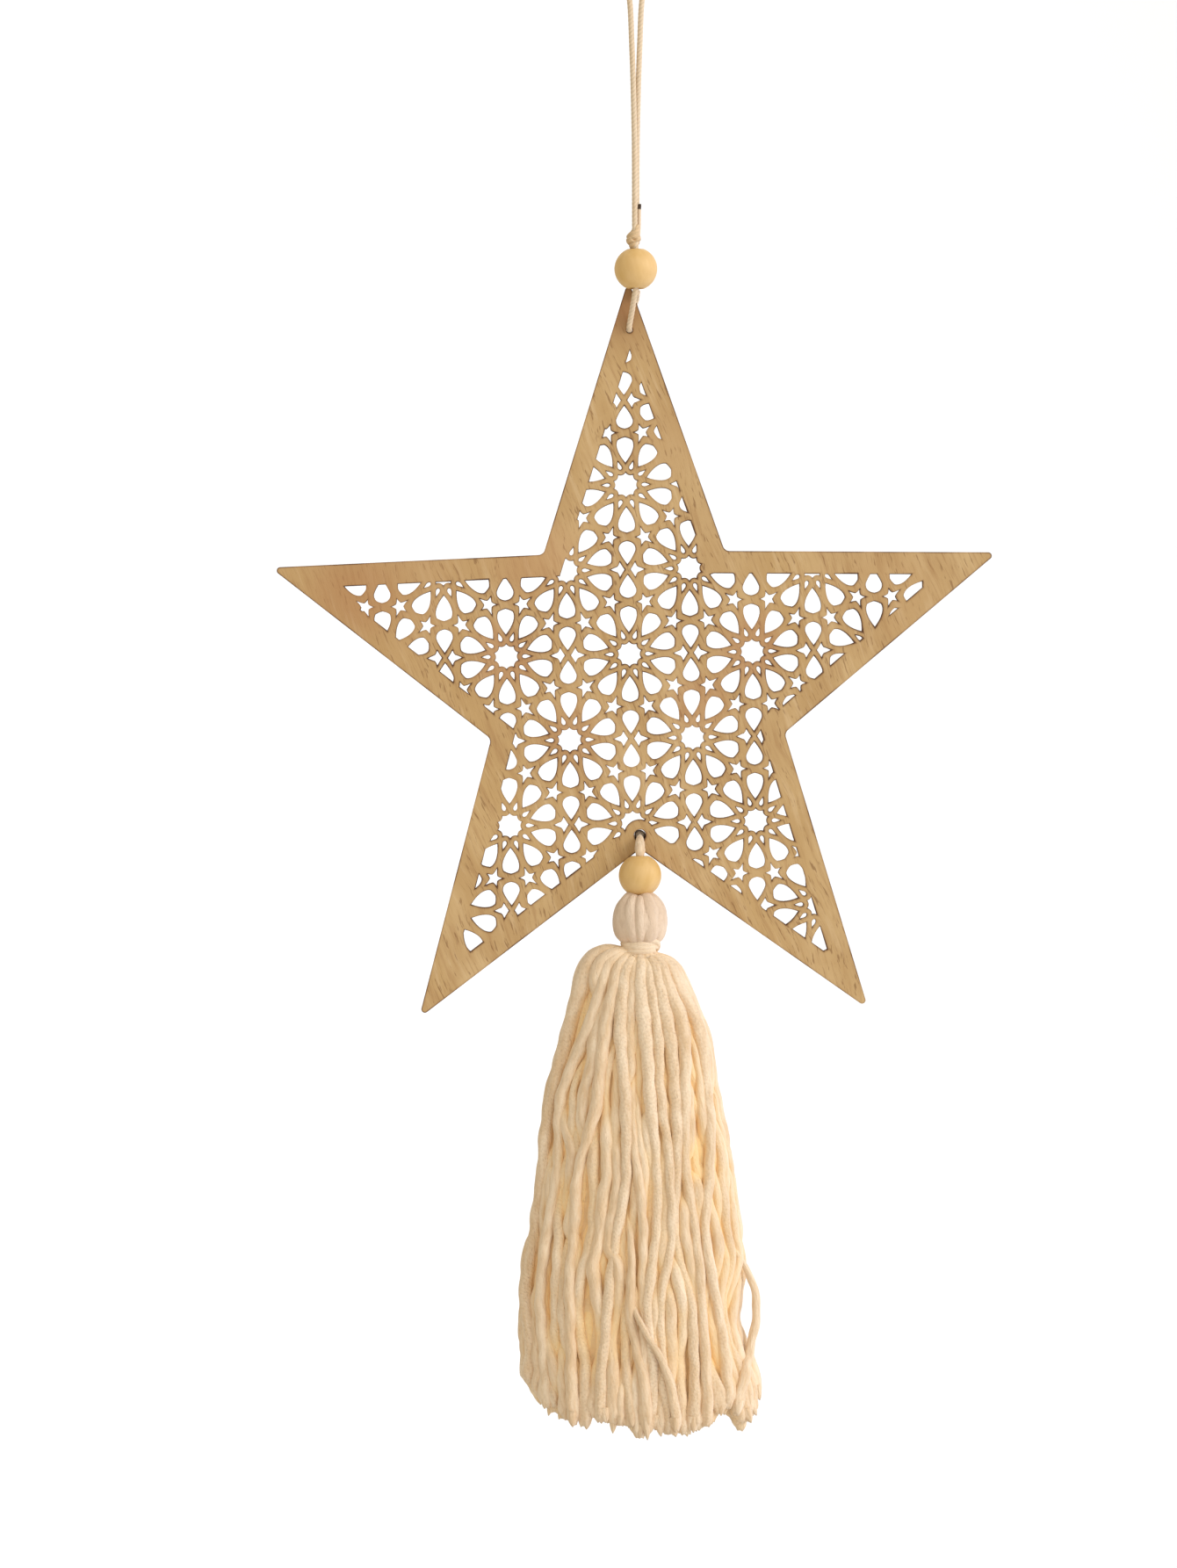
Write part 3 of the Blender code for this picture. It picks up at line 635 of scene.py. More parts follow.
def rounded(corners, radii, steps):
    """The outline with an arc of the given radius at each corner.

    The arc's middle lies radius / sin(half the corner's angle) inside the corner."""
    arcs = []
    for before, corner, after, radius in zip(np.roll(corners, 1, 0), corners, np.roll(corners, -1, 0), radii):
        a, b = (side / np.linalg.norm(side) for side in (before - corner, after - corner))
        half = math.acos(np.clip(a @ b, -1, 1)) / 2
        middle = corner + (a + b) / np.linalg.norm(a + b) * radius / math.sin(half)
        first, last = (corner + side * radius / math.tan(half) - middle for side in (a, b))
        sweep = math.degrees(math.atan2(first[0] * last[1] - first[1] * last[0], first @ last))
        arcs += [middle + turned([first], degrees)[0] for degrees in np.linspace(0, sweep, steps)]
    return np.array(arcs)


def ring_outline(radius, centre, sides):
    angle = angles(sides)
    return np.array(centre) + radius * np.stack([np.cos(angle), np.sin(angle)], axis=1)


def outlines_of(triangles):
    """The closed outlines round a flat set of anticlockwise triangles, as lists of point numbers."""
    sides = {(a, b) for triangle in triangles for a, b in zip(triangle, triangle[1:] + triangle[:1])}
    ahead = {a: b for a, b in sides if (b, a) not in sides}
    outlines = []
    while ahead:
        first = min(ahead)
        outline = [first]
        while ahead[outline[-1]] != first:
            outline.append(ahead.pop(outline[-1]))
        ahead.pop(outline[-1])
        outlines.append(outline)
    return outlines


def triangulated(outlines):
    """The points and flat triangles of what closed outlines enclose.

    With them come the outlines that each triangle lies in, and the old numbers of each point."""
    starts = np.cumsum([0] + [len(outline) for outline in outlines]).tolist()
    loops = [list(range(a, b)) for a, b in zip(starts, starts[1:])]
    points = [Vector(point) for point in np.concatenate(outlines) / MM]
    points, _, triangles, old, _, sources = delaunay_2d_cdt(points, [], loops, 1, MERGED, True)
    return np.array(points) * MM, [list(triangle) for triangle in triangles], sources, old


def area(outline):
    x, y = outline.T
    return np.sum(x * np.roll(y, -1) - y * np.roll(x, -1)) / 2


def without_short_sides(outline, shortest):
    """The outline without the points that lie nearer than the shortest side to the point before them."""
    gap = np.linalg.norm(outline - np.roll(outline, 1, axis=0), axis=1)
    return outline[gap > shortest]


def sharpness(outline):
    """How sharply a closed outline turns at each of its points: 0 up to 20 degrees, and 1 from 60 degrees."""
    side = np.roll(outline, -1, axis=0) - outline
    heading = np.degrees(np.arctan2(side[:, 1], side[:, 0]))
    turn = np.abs((heading - np.roll(heading, 1) + 180) % 360 - 180)
    return np.clip((turn - 20) / 40, 0, 1)


corners = star_corners()
star_edge = rounded(corners, [TIP_ROUNDING, NOTCH_ROUNDING] * 5, 9)
cord_hole = [0.0, corners[0][1] - CORD_HOLE_FROM_TIP]
yarn_hole = [0.0, corners[5][1] + YARN_HOLE_FROM_NOTCH]
window = inset(corners, BORDER_WIDTH)
tab = ring_outline(TAB_RADIUS, yarn_hole, 40)
flat, triangles, sources, _ = triangulated([window, tab, *lattice_cuts(STAR_TALLNESS * STAR_TIP_RADIUS)])
cut_away = [0 in inside and 1 not in inside and max(inside) > 1 for inside in sources]
cuts = [flat[outline] for outline in outlines_of([t for t, cut in zip(triangles, cut_away) if cut])]
cuts = [without_short_sides(cut, SHORTEST_SIDE) for cut in cuts if area(cut) > SMALLEST_CUT**2]
cuts += [ring_outline(CORD_HOLE_RADIUS, cord_hole, 32), ring_outline(YARN_HOLE_RADIUS, yarn_hole, 32)]
edges = [star_edge, *cuts]
scorch_limits = [grown(cut, SCORCH_WIDTH, SHADE_LEAN) for cut in cuts] + [grown(star_edge, -SCORCH_WIDTH)]
flat, triangles, sources, old = triangulated(edges + scorch_limits)
in_cut = [any(0 < k < len(edges) for k in inside) for inside in sources]
wood = [t for t, inside, cut in zip(triangles, sources, in_cut) if 0 in inside and not cut]
# The edges' points come first and keep their scorch and painted shade, and every point after them has none.
scorch_and_shade = [np.full(len(star_edge), BORDER_SCORCH)]
scorch_and_shade += [CUT_SCORCH + (1 - CUT_SCORCH) * sharpness(cut) for cut in cuts]
scorch_and_shade = np.concatenate([*scorch_and_shade, [0.0]])
beyond = len(scorch_and_shade) - 1
scorch_and_shade = scorch_and_shade[[min([*numbers, beyond]) for numbers in old]]
sides = {(a, b) for triangle in wood for a, b in zip(triangle, triangle[1:] + triangle[:1])}
rim = np.array(sorted((a, b) for a, b in sides if (b, a) not in sides))
upright = turned(flat, STAR_TILT_DEGREES)
count = len(flat)
plate_points = np.concatenate(
    [np.stack([upright[:, 0], np.full(count, depth), upright[:, 1]], axis=1) for depth in (-0.5, 0.5)]
) * [1, PLATE_THICKNESS, 1] + PLATE_CENTRE
front = np.array(wood)
walls = np.stack([rim[:, 1], rim[:, 0], rim[:, 0] + count, rim[:, 1] + count], axis=1)
mesh = bpy.data.meshes.new("fretwork_star")
faces = front.tolist() + (front[:, ::-1] + count).tolist() + walls.tolist()
mesh.from_pydata(plate_points.tolist(), [], faces)
scorch_and_shade_layer = mesh.attributes.new("scorch_and_shade", "FLOAT", "POINT")
scorch_and_shade_layer.data.foreach_set("value", np.tile(scorch_and_shade, 2).astype(np.float32))
finish_number = np.repeat([0, 1], [2 * len(front), len(walls)])
mesh.polygons.foreach_set("material_index", finish_number.astype(np.int32))
mesh.shade_smooth()
mesh.set_sharp_from_angle(angle=math.radians(35))


def plywood_face():
    """The face veneer: leaning streaks, soft mottling, fine pores, and short dark and pale flecks.

    On it lie warmer patches, the brown smoke stains, and the dark lines beside the cuts and the border. These
    lines are laser scorch, and painted shade where they lean to the right and down and along the border. They
    follow an attribute that is 1 at every cut's corners, less along its edge, and 0 a scorch's width away
    from it."""
    made, shader, node, place = new_finish("plywood_face", 0.62)
    lean = (0, math.radians(20), 0)
    waver = stretched_noise(node, place, (30, 30, 30), 2.0)
    sway = node("CombineXYZ", {"X": times(node, waver, 9 * MM)})
    moved = node("VectorMath", {0: sway, 1: place})
    bands = stretched_noise(node, moved, (85, 85, 16), 3.0, 0.55, lean)
    streaks = stretched_noise(node, moved, (620, 620, 48), 4.0, 0.6, lean)
    pores = stretched_noise(node, moved, (2600, 2600, 200), 2.0, 0.5, lean)
    flecks = stretched_noise(node, moved, (1500, 1500, 230), 2.0, 0.5, lean)
    mottle = stretched_noise(node, place, (95, 95, 60), 3.0)
    clouds = stretched_noise(node, place, (22, 22, 16), 2.0)
    colour = tinted(node, seen_as(210, 177, 127), bands, 0.3, 0.7, 1, (196, 160, 107))
    colour = tinted(node, colour, mottle, 0.35, 0.65, 0.6, (184, 146, 95))
    colour = tinted(node, colour, clouds, 0.35, 0.65, 0.4, (190, 152, 97))
    colour = tinted(node, colour, streaks, 0.52, 0.68, 0.5, (172, 131, 84))
    colour = tinted(node, colour, streaks, 0.46, 0.3, 0.35, (222, 192, 148))
    colour = tinted(node, colour, pores, 0.58, 0.7, 0.3, (150, 108, 66))
    colour = tinted(node, colour, flecks, 0.62, 0.7, 0.6, (128, 88, 50))
    # Each stain: its place across and its height, its radius, its strength and its colour.
    for x, z, radius, strength, tone in (
        (-70, -172, 34, 0.4, (180, 136, 90)),
        (-80, -178, 18, 0.42, (174, 122, 76)),
        (-30, -168, 20, 0.4, (190, 142, 98)),
        (-3, -97, 18, 0.6, (164, 122, 78)),
        (10, -135, 16, 0.35, (186, 146, 98)),
        (70, -176, 24, 0.3, (182, 140, 92)),
        (32.9, -194.1, 15, 0.5, (176, 122, 82)),
        (-36.6, -195.6, 15, 0.5, (176, 122, 82)),
        (-18.5, -218.8, 14, 0.42, (176, 122, 82)),
        (18.8, -208.7, 12, 0.45, (176, 122, 82)),
        (-5.5, -97, 9, 0.5, (166, 114, 74)),
    ):
        centre = (x * MM, PLATE_CENTRE[1], z * MM)
        away = node("VectorMath", {0: place, 1: centre}, "Value", operation="DISTANCE")
        broken = plus(node, away, times(node, plus(node, mottle, -0.5), 0.7 * radius * MM))
        colour = tinted(node, colour, broken, radius * MM, 0.2 * radius * MM, strength, tone)
    # The dark lines beside the cuts and the border: laser scorch, with painted shade to their right, below
    # them and along the border.
    rough_scorch_and_shade = times(node, attribute(node, "scorch_and_shade"), faded(node, mottle, 0.3, 0.7, 0.7, 1.25))
    colour = tinted(node, colour, rough_scorch_and_shade, 0.0, 0.5, 0.25, (146, 100, 56))
    colour = tinted(node, colour, rough_scorch_and_shade, 0.36, 0.85, 0.95, (86, 52, 26))
    grain = plus(node, times(node, streaks, 0.6), times(node, pores, -0.5))
    connect(made, shader, colour, grain, 0.05 * MM, faded(node, streaks, 0.3, 0.7, 0.56, 0.68))
    return made


def cut_wall():
    """The walls that the laser left: dark brown, the middle ply paler, with fine marks from front to back."""
    made, shader, node, place = new_finish("scorched_cut_wall", 0.8)
    depth = calc(node, "SUBTRACT", node("SeparateXYZ", {"Vector": place}, "Y"), PLATE_CENTRE[1])
    depth = calc(node, "ABSOLUTE", calc(node, "DIVIDE", depth, PLATE_THICKNESS))
    marks = stretched_noise(node, place, (3000, 500, 3000), 3.0, 0.6)
    middle = faded(node, depth, 0.14, 0.2, 1, 0)
    colour = mixed(node, middle, seen_as(84, 52, 30), seen_as(112, 74, 44))
    colour = tinted(node, colour, marks, 0.4, 0.7, 0.5, (52, 32, 20))
    connect(made, shader, colour, marks, 0.06 * MM)
    return made


star = put("fretwork_star", mesh, plywood_face(), cut_wall())
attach(star, "root")
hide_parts("star_plate")

# The yarn that ties the tassel on: it rises through the lower bead, goes through the hole above the star's
# lowest notch and comes back down behind. It is the tassel's own soft cotton, squeezed where it is tight.
# Each point of its route, in millimetres: its place, and the yarn's diameter there.
tie_route = np.array(
    [
        (1.185, -1.0, -265.5, 1.7),
        (1.185, -1.0, -257.322, 1.7),
        (1.185, -1.0, -251.922, 2.3),
        (1.185, -0.9, -250.522, 2.9),
        (1.185, 0.718, -248.922, 2.9),
        (1.185, 2.053, -247.744, 2.6),
        (1.185, 3.603, -246.894, 2.0),
        (1.185, 5.103, -246.594, 2.0),
        (1.185, 6.603, -246.094, 3.3),
        (1.185, 8.153, -246.744, 3.2),
        (1.185, 8.053, -248.444, 2.24),
        (1.185, 7.803, -250.122, 1.8),
        (1.185, 7.003, -251.322, 1.2),
        (1.185, 5.103, -251.522, 1.2),
        (1.185, 3.203, -251.222, 1.2),
        (1.185, 2.041, -250.572, 1.2),
        (1.185, 1.2, -250.972, 1.53),
        (1.185, 1.0, -252.522, 1.7),
        (1.185, 1.0, -257.322, 1.7),
        (1.185, 1.0, -265.5, 1.7),
    ]
)


# How each yarn is twisted: the length of one turn, the number of plies, and their offset as in ply_reach.
TIE_TWIST = (9 * MM, 3, 0.16)
HEAD_TWIST = (40 * MM, 2, 0.06)
BINDING_TWIST = (14 * MM, 2, 0.06)
SKIRT_TWIST = (15 * MM, 2, 0.07)


def yarn_reach(sides, along, radius, twist, plies, offset):
    """A soft yarn's reach: plies wound round each other once in each twist, with a slow swell along it."""
    winding = angles(sides) - 2 * math.pi * along[..., None] / twist
    swell = 1 + 0.03 * np.sin(2 * math.pi * along / (7.3 * MM) + 1.0)
    return (radius * swell)[..., None] * ply_reach(winding, plies, offset)


# The strength of the yarn's painted glow where it is thickest, a stand-in for light that comes through the
# cotton.
PAINTED_GLOW_SHARE = 0.06


def yarn_finish(name, light, deep):
    """Soft cream cotton: streaks along it, winding fibres with painted shade in their grooves, each yarn's
    faint tone.

    One attribute is 0 on the bundle's outside and 1 deep between the yarns. There the colour turns a warm
    amber and
    the yarn glows faintly: painted light that stands in for light coming through the cotton. The attribute
    ridged is how far a yarn shows its fine close twist."""
    made, shader, node, place = new_finish(name, 0.9)
    u, v = lay_map(node)
    tone, hidden, ridged = (attribute(node, key) for key in ("tone", "hidden", "ridged"))
    turn = times(node, u, 2 * math.pi)
    round_it = {"X": calc(node, "COSINE", turn), "Y": calc(node, "SINE", turn), "Z": times(node, v, 130)}
    own_part = node("CombineXYZ", {"X": times(node, tone, 90)})
    streaks_at = node("VectorMath", {0: node("CombineXYZ", round_it), 1: own_part})
    streaks = node("TexNoise", {"Vector": streaks_at, "Scale": 1.6, "Detail": 4.0, "Roughness": 0.6})
    drift = stretched_noise(node, place, (1500, 1500, 700), 3.0, 0.65)
    clump = stretched_noise(node, place, (240, 240, 60), 2.0, 0.5)
    waves = []
    for strands, pitch in ((7, 5 * MM), (13, 3 * MM), (4, 1.1 * MM)):
        phase = plus(node, times(node, u, strands), calc(node, "DIVIDE", v, pitch))
        phase = plus(node, phase, times(node, drift, 1.6))
        waves.append(calc(node, "SINE", times(node, phase, 2 * math.pi)))
    fibres = plus(node, times(node, waves[0], 0.25), times(node, waves[1], 0.2))
    fibres = plus(node, fibres, times(node, waves[2], plus(node, ridged, 0.12)))
    # Painted shade: darker where the waves of the fibres and the twist dip. The clumps, the streaks and each
    # yarn's tone also darken it.
    shade = plus(node, faded(node, fibres, -1, 0.6, 0.2, 0), faded(node, clump, 0.35, 0.7, 0, 0.35))
    shade = plus(node, shade, faded(node, streaks, 0.3, 0.7, 0, 0.6))
    shade = plus(node, shade, tone)
    colour = mixed(node, shade, seen_as(*light), seen_as(*deep))
    # Painted light: deep between the yarns the colour turns a warm amber.
    colour = mixed(node, hidden, colour, seen_as(247, 211, 150))
    height = plus(node, times(node, fibres, 0.35), plus(node, drift, streaks))
    connect(made, shader, colour, height, 0.26 * MM)
    # Painted light: a faint glow deep between the yarns, though the yarn is no lamp.
    shader.inputs["Emission Color"].default_value = seen_as(244, 212, 160)
    painted_glow_strength = times(node, hidden, PAINTED_GLOW_SHARE)
    made.node_tree.links.new(painted_glow_strength, shader.inputs["Emission Strength"])
    shader.inputs["Sheen Weight"].default_value = 0.25
    shader.inputs["Sheen Roughness"].default_value = 0.6
    return made


cream_yarn = yarn_finish("cream_cotton_yarn", (245, 221, 188), (224, 191, 149))
tie_route = evenly(smooth(tie_route * MM, 10), 0.3 * MM)
tie_lay = distances(tie_route)
tie_reach = yarn_reach(20, tie_lay, tie_route[:, 3] / 2, *TIE_TWIST)
tie_rings = carried(tie_route[:, :3], tie_reach, np.array([1.0, 0, 0]))
tie = ringed_piece("tassel_tying_yarn", tie_rings[None], tie_lay[None], cream_yarn, tone=[0.1])
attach(tie, "root")
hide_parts("tassel_tie")

# The tassel's head: the bundle of yarns folded over the tie, so that each rises from the neck, swells out and
# turns in under the bead. They are pressed into each other, and only shallow creases are left between them.
TASSEL_AXIS = 1.185 * MM
HEAD_TOP = -263.622 * MM
NECK_TOP = -276.022 * MM
NECK_BOTTOM = -279.022 * MM
HEAD_DEPTH_SHARE = 0.95
HEAD_FILLING = 0.86
HEAD_FOLD = 0.8 * MM
# Each row of a yarn's way, in millimetres: its reach from the axis, its height above the head's top, and its
# radius.
head_form = smooth(
    [
        (0.9, -4.2, 0.9),
        (1.5, -2.0, 1.1),
        (3.2, -0.35, 1.5),
        (4.7, -1.9, 1.8),
        (5.65, -4.2, 2.05),
        (5.9, -7.0, 2.15),
        (5.4, -9.6, 2.0),
        (4.4, -11.4, 1.6),
        (3.7, -13.0, 1.2),
        (3.4, -15.2, 1.1),
    ],
    8,
)
reach, up, thick = head_form.T * MM
rng = np.random.default_rng(7)
s = np.linspace(0, 1, len(reach))
# Where the yarns come round, in degrees from the right, and how broad they are: in front a broad one at each
# side, and between them narrow ones that part towards the top, where the tie goes in.
start = np.radians([-152, -113, -92, -62, -22, 18, 48, 76, 105, 136, 170])
broad = np.array([1.7, 1.1, 0.85, 1.45, 1.5, 1.3, 1.0, 1.0, 1.0, 1.0, 1.0])[:, None]
angle = start[:, None] + rng.uniform(-0.08, 0.08, (len(start), 1)) * (2 * s - 1)
angle[1:4] += np.array([[-0.2], [0.1], [0.15]]) * (1 - s) ** 2
out = reach * (1 + rng.uniform(-0.02, 0.02, (len(start), 1))) - 0.95 * (broad - 1) * thick
head_lines = np.stack(
    [TASSEL_AXIS + out * np.cos(angle), HEAD_DEPTH_SHARE * out * np.sin(angle), HEAD_TOP + up + 0 * out],
    axis=-1,
)
head_lay = distances(head_lines)
head_reach = yarn_reach(24, head_lay, thick * broad, *HEAD_TWIST)
inward = np.array([TASSEL_AXIS, 0, HEAD_TOP - 7 * MM]) - head_lines
head_rings = carried(head_lines, head_reach, inward)
# The head's yarn is the same cotton drawn a little darker and less warm, with deeper tones: painted shade on
# the head.
head_tone = rng.uniform(0.2, 0.4, len(head_lines))
head_shaded_yarn = yarn_finish("head_cotton_painted_shade", (240, 216, 188), (220, 192, 162))
head = ringed_piece("tassel_head_yarns", head_rings, head_lay, head_shaded_yarn, tone=head_tone)
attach(head, "root")
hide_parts("tassel")
# The yarns are pressed flat against each other but for one deep fold, which leans left towards the top.
pressed = angles(120)
fold_at = np.radians(-97) - 0.12 * (1 - s[:, None]) ** 2
off_fold = (pressed - fold_at + math.pi) % (2 * math.pi) - math.pi
core_out = (reach + HEAD_FILLING * thick)[:, None] - HEAD_FOLD * np.exp(-((off_fold / 0.1) ** 2))
core_up = HEAD_TOP + up[:, None] + 0 * core_out
core_rings = np.stack(
    [TASSEL_AXIS + core_out * np.cos(pressed), HEAD_DEPTH_SHARE * core_out * np.sin(pressed), core_up],
    axis=-1,
)[np.argmax(up) :]
core_lay = distances(core_rings[:, 0])
head_core = ringed_piece("tassel_head_core", core_rings[None], core_lay[None], head_shaded_yarn, tone=[0.3])
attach(head_core, "root")
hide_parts("tassel")

# The binding: a length of the same yarn wound round the neck, a little aslant and pressed flat, with its end
# tucked in as a small bump at the right.
BINDING_TURNS = 2.9
BINDING_RADIUS = 4.7 * MM
BINDING_YARN = 1.7 * MM
BINDING_STEP = 1.05 * MM
BINDING_LEAN = 0.45 * MM
TUCK_YARN = 1.6 * MM
turn = np.linspace(0, 2 * math.pi * BINDING_TURNS, 260)
wound = np.stack(
    [
        TASSEL_AXIS + BINDING_RADIUS * np.cos(turn),
        BINDING_RADIUS * np.sin(turn),
        NECK_TOP + 0.5 * MM - BINDING_STEP * turn / (2 * math.pi) + BINDING_LEAN * np.cos(turn - 0.4),
    ],
    axis=1,
)
binding_lay = distances(wound)
binding_reach = yarn_reach(16, binding_lay, np.full(len(turn), BINDING_YARN / 2), *BINDING_TWIST)
binding_rings = carried(wound, binding_reach, np.array([0, 0, 1.0]))
tuck = [(2.6, -4.3, 0.7), (4.0, -3.6, 0.4), (4.9, -2.2, -0.3), (4.9, -0.6, -1.4), (4.0, 0.9, -2.6)]
tuck = evenly(smooth(np.array(tuck) * MM + [TASSEL_AXIS, 0, NECK_TOP], 12), 0.4 * MM)
tuck_lay = distances(tuck)
tuck_reach = yarn_reach(16, tuck_lay, np.full(len(tuck), TUCK_YARN / 2), *BINDING_TWIST)
tuck_rings = carried(tuck, tuck_reach, np.array([0, 0.3, 1.0]))
for name, rings, lay in (
    ("neck_binding", binding_rings, binding_lay),
    ("binding_tuck", tuck_rings, tuck_lay),
):
    wrap = ringed_piece(name, rings[None], lay[None], cream_yarn, tone=[-0.4])
    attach(wrap, "root")
    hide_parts("tassel_binding")

# The skirt: the same yarns below the neck, cut to one rough length. They leave the binding almost level, bend
# down over the shoulder and hang in soft waves. The outer ones are pressed broad at the shoulder, and the
# others come out between them further down.
YARN_RADIUS = 1.75 * MM
YARN_SIDES = 12
SHOULDER_SWELL = 1.32
SKIRT_FLATNESS = 0.6
SKIRT_PIECES = 4
# From here to the hem, lengths are in millimetres.
HEM_RAGGEDNESS = 3.0
ROW_SPACING = 2.3
NECK_REACH = 4.2
# Two yarns are pushed apart until their middles are this share of their radii apart, in so many rounds.
TOUCHING = 0.68
PUSH_ROUNDS = 60
PUSH_SHARE = 0.22
# Each row of the skirt's form: how far down the left yarns are and how far they reach, then the same at the
# right.
skirt_form = smooth(
    [
        (-3.2, 2.0, -3.2, 2.0),
        (-0.6, 2.9, -0.6, 2.8),
        (-0.3, 5.4, 1.4, 4.4),
        (-0.7, 9.0, 2.6, 7.4),
        (1.3, 13.2, 5.2, 10.0),
        (6.0, 16.2, 9.6, 12.3),
        (14, 18.0, 16, 14.9),
        (25, 20.8, 25, 18.2),
        (40, 25.4, 40, 20.8),
        (60, 27.6, 60, 25.0),
        (78, 28.9, 78, 26.9),
        (90, 31.6, 90, 28.6),
        (105, 32.5, 105, 26.6),
        (116, 32.6, 116, 28.8),
        (126, 31.6, 126, 31.6),
        (135, 31.0, 135, 32.6),
    ],
    12,
)
left_down, left, right_down, right = evenly(skirt_form, ROW_SPACING).T[:, :, None]
# The strands that lie on top at the front: how far down each comes to the surface, how far it stands off, its
# thickness as a share of YARN_RADIUS, and its places across the tassel at each FRONT_STEP from the neck down.
FRONT_STEP = 20.0
front_strands = (
    (0, 0.0, 1.02, (-12.5, -19.5, -24.5, -27, -29.5, -32, -30.5, -30)),
    (0, 0.0, 0.92, (-8, -14, -22, -23.5, -25.5, -28, -27, -26)),
    (0, 0.6, 0.92, (-5.5, -9.5, -12, -17.5, -18.5, -19.5, -19.5, -19)),
    (0, 0.5, 0.90, (-4, -5.5, -4, -4.5, -6.5, -9, -11, -11.5)),
    (0, 0.3, 0.88, (-0.5, 1, 2.5, 5, 4, 1.5, 3.5, 4)),
    (0, 0.3, 0.82, (1.5, 4.5, 6, 8, 8, 5.5, 7, 8)),
    (0, 0.0, 0.88, (3.5, 7.5, 9.5, 10, 10, 14, 14.5, 14.5)),
    (0, 0.2, 0.92, (4.5, 11.5, 12.5, 12.5, 15, 17.5, 18, 17.5)),
    (0, 0.0, 0.94, (6.5, 16, 18.5, 19, 18.5, 20.5, 23.5, 24.5)),
    (86, 0.0, 0.78, (26, 26, 26, 26, 25.5, 32.5, 29.5, 26)),
    (98, 2.2, 0.70, (-4, -4, -4, -4, -4, -2, 8, 11)),
    (74, 0.9, 0.85, (-5, -5, -5, -5, -3, -3, 1, 1.5)),
    (34, 0.4, 0.82, (-2, -2, -2, -1, 0.5, 1, 1, 1)),
)
# The other yarns: those seen whole behind and beside the front ones, those that come out between them further
# down, a second layer under all these, and the bundle's core.
ON_TOP, WHOLE, EMERGING, SECOND, CORE = range(5)
FRONT, EMERGING_COUNT, SECOND_COUNT, CORE_COUNT = len(front_strands), 44, 54, 32
GOLDEN_ANGLE = 2.39996
rng = np.random.default_rng(23)
whole = np.radians([*np.linspace(-12, 192, 15), -130, -96])
around = np.concatenate(
    [
        np.zeros(FRONT),
        whole,
        angles(EMERGING_COUNT) + 2 * math.pi * rng.uniform(-0.3, 0.3, EMERGING_COUNT) / EMERGING_COUNT,
        angles(SECOND_COUNT) + 2 * math.pi * rng.uniform(-0.3, 0.3, SECOND_COUNT) / SECOND_COUNT,
        GOLDEN_ANGLE * np.arange(CORE_COUNT),
    ]
)
kinds = np.repeat(
    [ON_TOP, WHOLE, EMERGING, SECOND, CORE],
    [FRONT, len(whole), EMERGING_COUNT, SECOND_COUNT, CORE_COUNT],
)
yarns = len(kinds)
outer = kinds < SECOND
comes_out = np.where(kinds == EMERGING, rng.uniform(14, 60, yarns), 0.0)
stand_off = np.zeros(yarns)
thickness = rng.uniform(0.82, 1.12, yarns)
for column, values in enumerate((comes_out, stand_off, thickness)):
    values[:FRONT] = [strand[column] for strand in front_strands]
down = (left_down + right_down) / 2
half_depth = np.maximum(SKIRT_FLATNESS * (left + right) / 2, 0.95 * np.minimum(left, NECK_REACH))
# How far out each yarn lies, as a share of the skirt's own half width and depth. A yarn comes out over 16 mm.
out_now = np.clip((down - comes_out + 8) / 16, 0, 1)
out_now = np.where(comes_out > 0, out_now**2 * (3 - 2 * out_now), 1)
inside = 0.2 + 0.48 * np.sqrt(rng.uniform(0, 1, yarns))
spread = np.select([outer, kinds == SECOND], [0.82 + 0.18 * out_now, 0.88], inside)

# A front strand follows its own places from where it comes out, and before that the angle of that point.
table = smooth(np.array([strand[3] for strand in front_strands]).T, 10)
levels = np.linspace(0, FRONT_STEP * (len(front_strands[0][3]) - 1), len(table))
across = np.stack([np.interp(down[:, 0], levels, column) for column in table.T], axis=1)
first = np.array([np.argmin(np.abs(down[:, 0] - max(strand[0], 9))) for strand in front_strands])
at_first = across[first, np.arange(FRONT)]
half_width = np.where(at_first < 0, left[first, 0], right[first, 0])
around[:FRONT] = -np.arccos(np.clip(at_first / half_width, -0.98, 0.98))
half_width = np.where(np.cos(around) < 0, left, right)
place = np.stack([spread * half_width * np.cos(around), spread * half_depth * np.sin(around)], axis=-1)
half_width = np.where(across < 0, left, right)
depth = spread[:, :FRONT] * half_depth * np.sqrt(np.clip(1 - (across / (1.04 * half_width)) ** 2, 0.06, 1))
traced = np.stack([across, -depth - stand_off[:FRONT] * out_now[:, :FRONT]], axis=-1)
follows = np.clip((down - np.maximum(comes_out[:FRONT] - 8, 2)) / 9, 0, 1)[..., None]
place[:, :FRONT] = (1 - follows) * place[:, :FRONT] + follows * traced

# Soft waves, less near the neck: long ones, some of which neighbours share, and shorter ones.
loose = np.clip(down / 45, 0, 1)[..., None] ** 1.3
waving = np.where(kinds == ON_TOP, 0.3, 1.0)[:, None]
for length, size in ((70, 1.3), (34, 0.5), (18, 0.2)):
    phase = rng.uniform(0, 2 * math.pi, (yarns, 2))
    pace = rng.uniform(0.8, 1.25, (yarns, 2))
    place += waving * loose * size * np.sin(2 * math.pi * pace * down[..., None] / length + phase)
shared = 1.2 * np.sin(2 * math.pi * down / 52 + 3 * around) * loose[..., 0] * (kinds != ON_TOP)
place[..., 0] += shared * np.abs(np.sin(around))

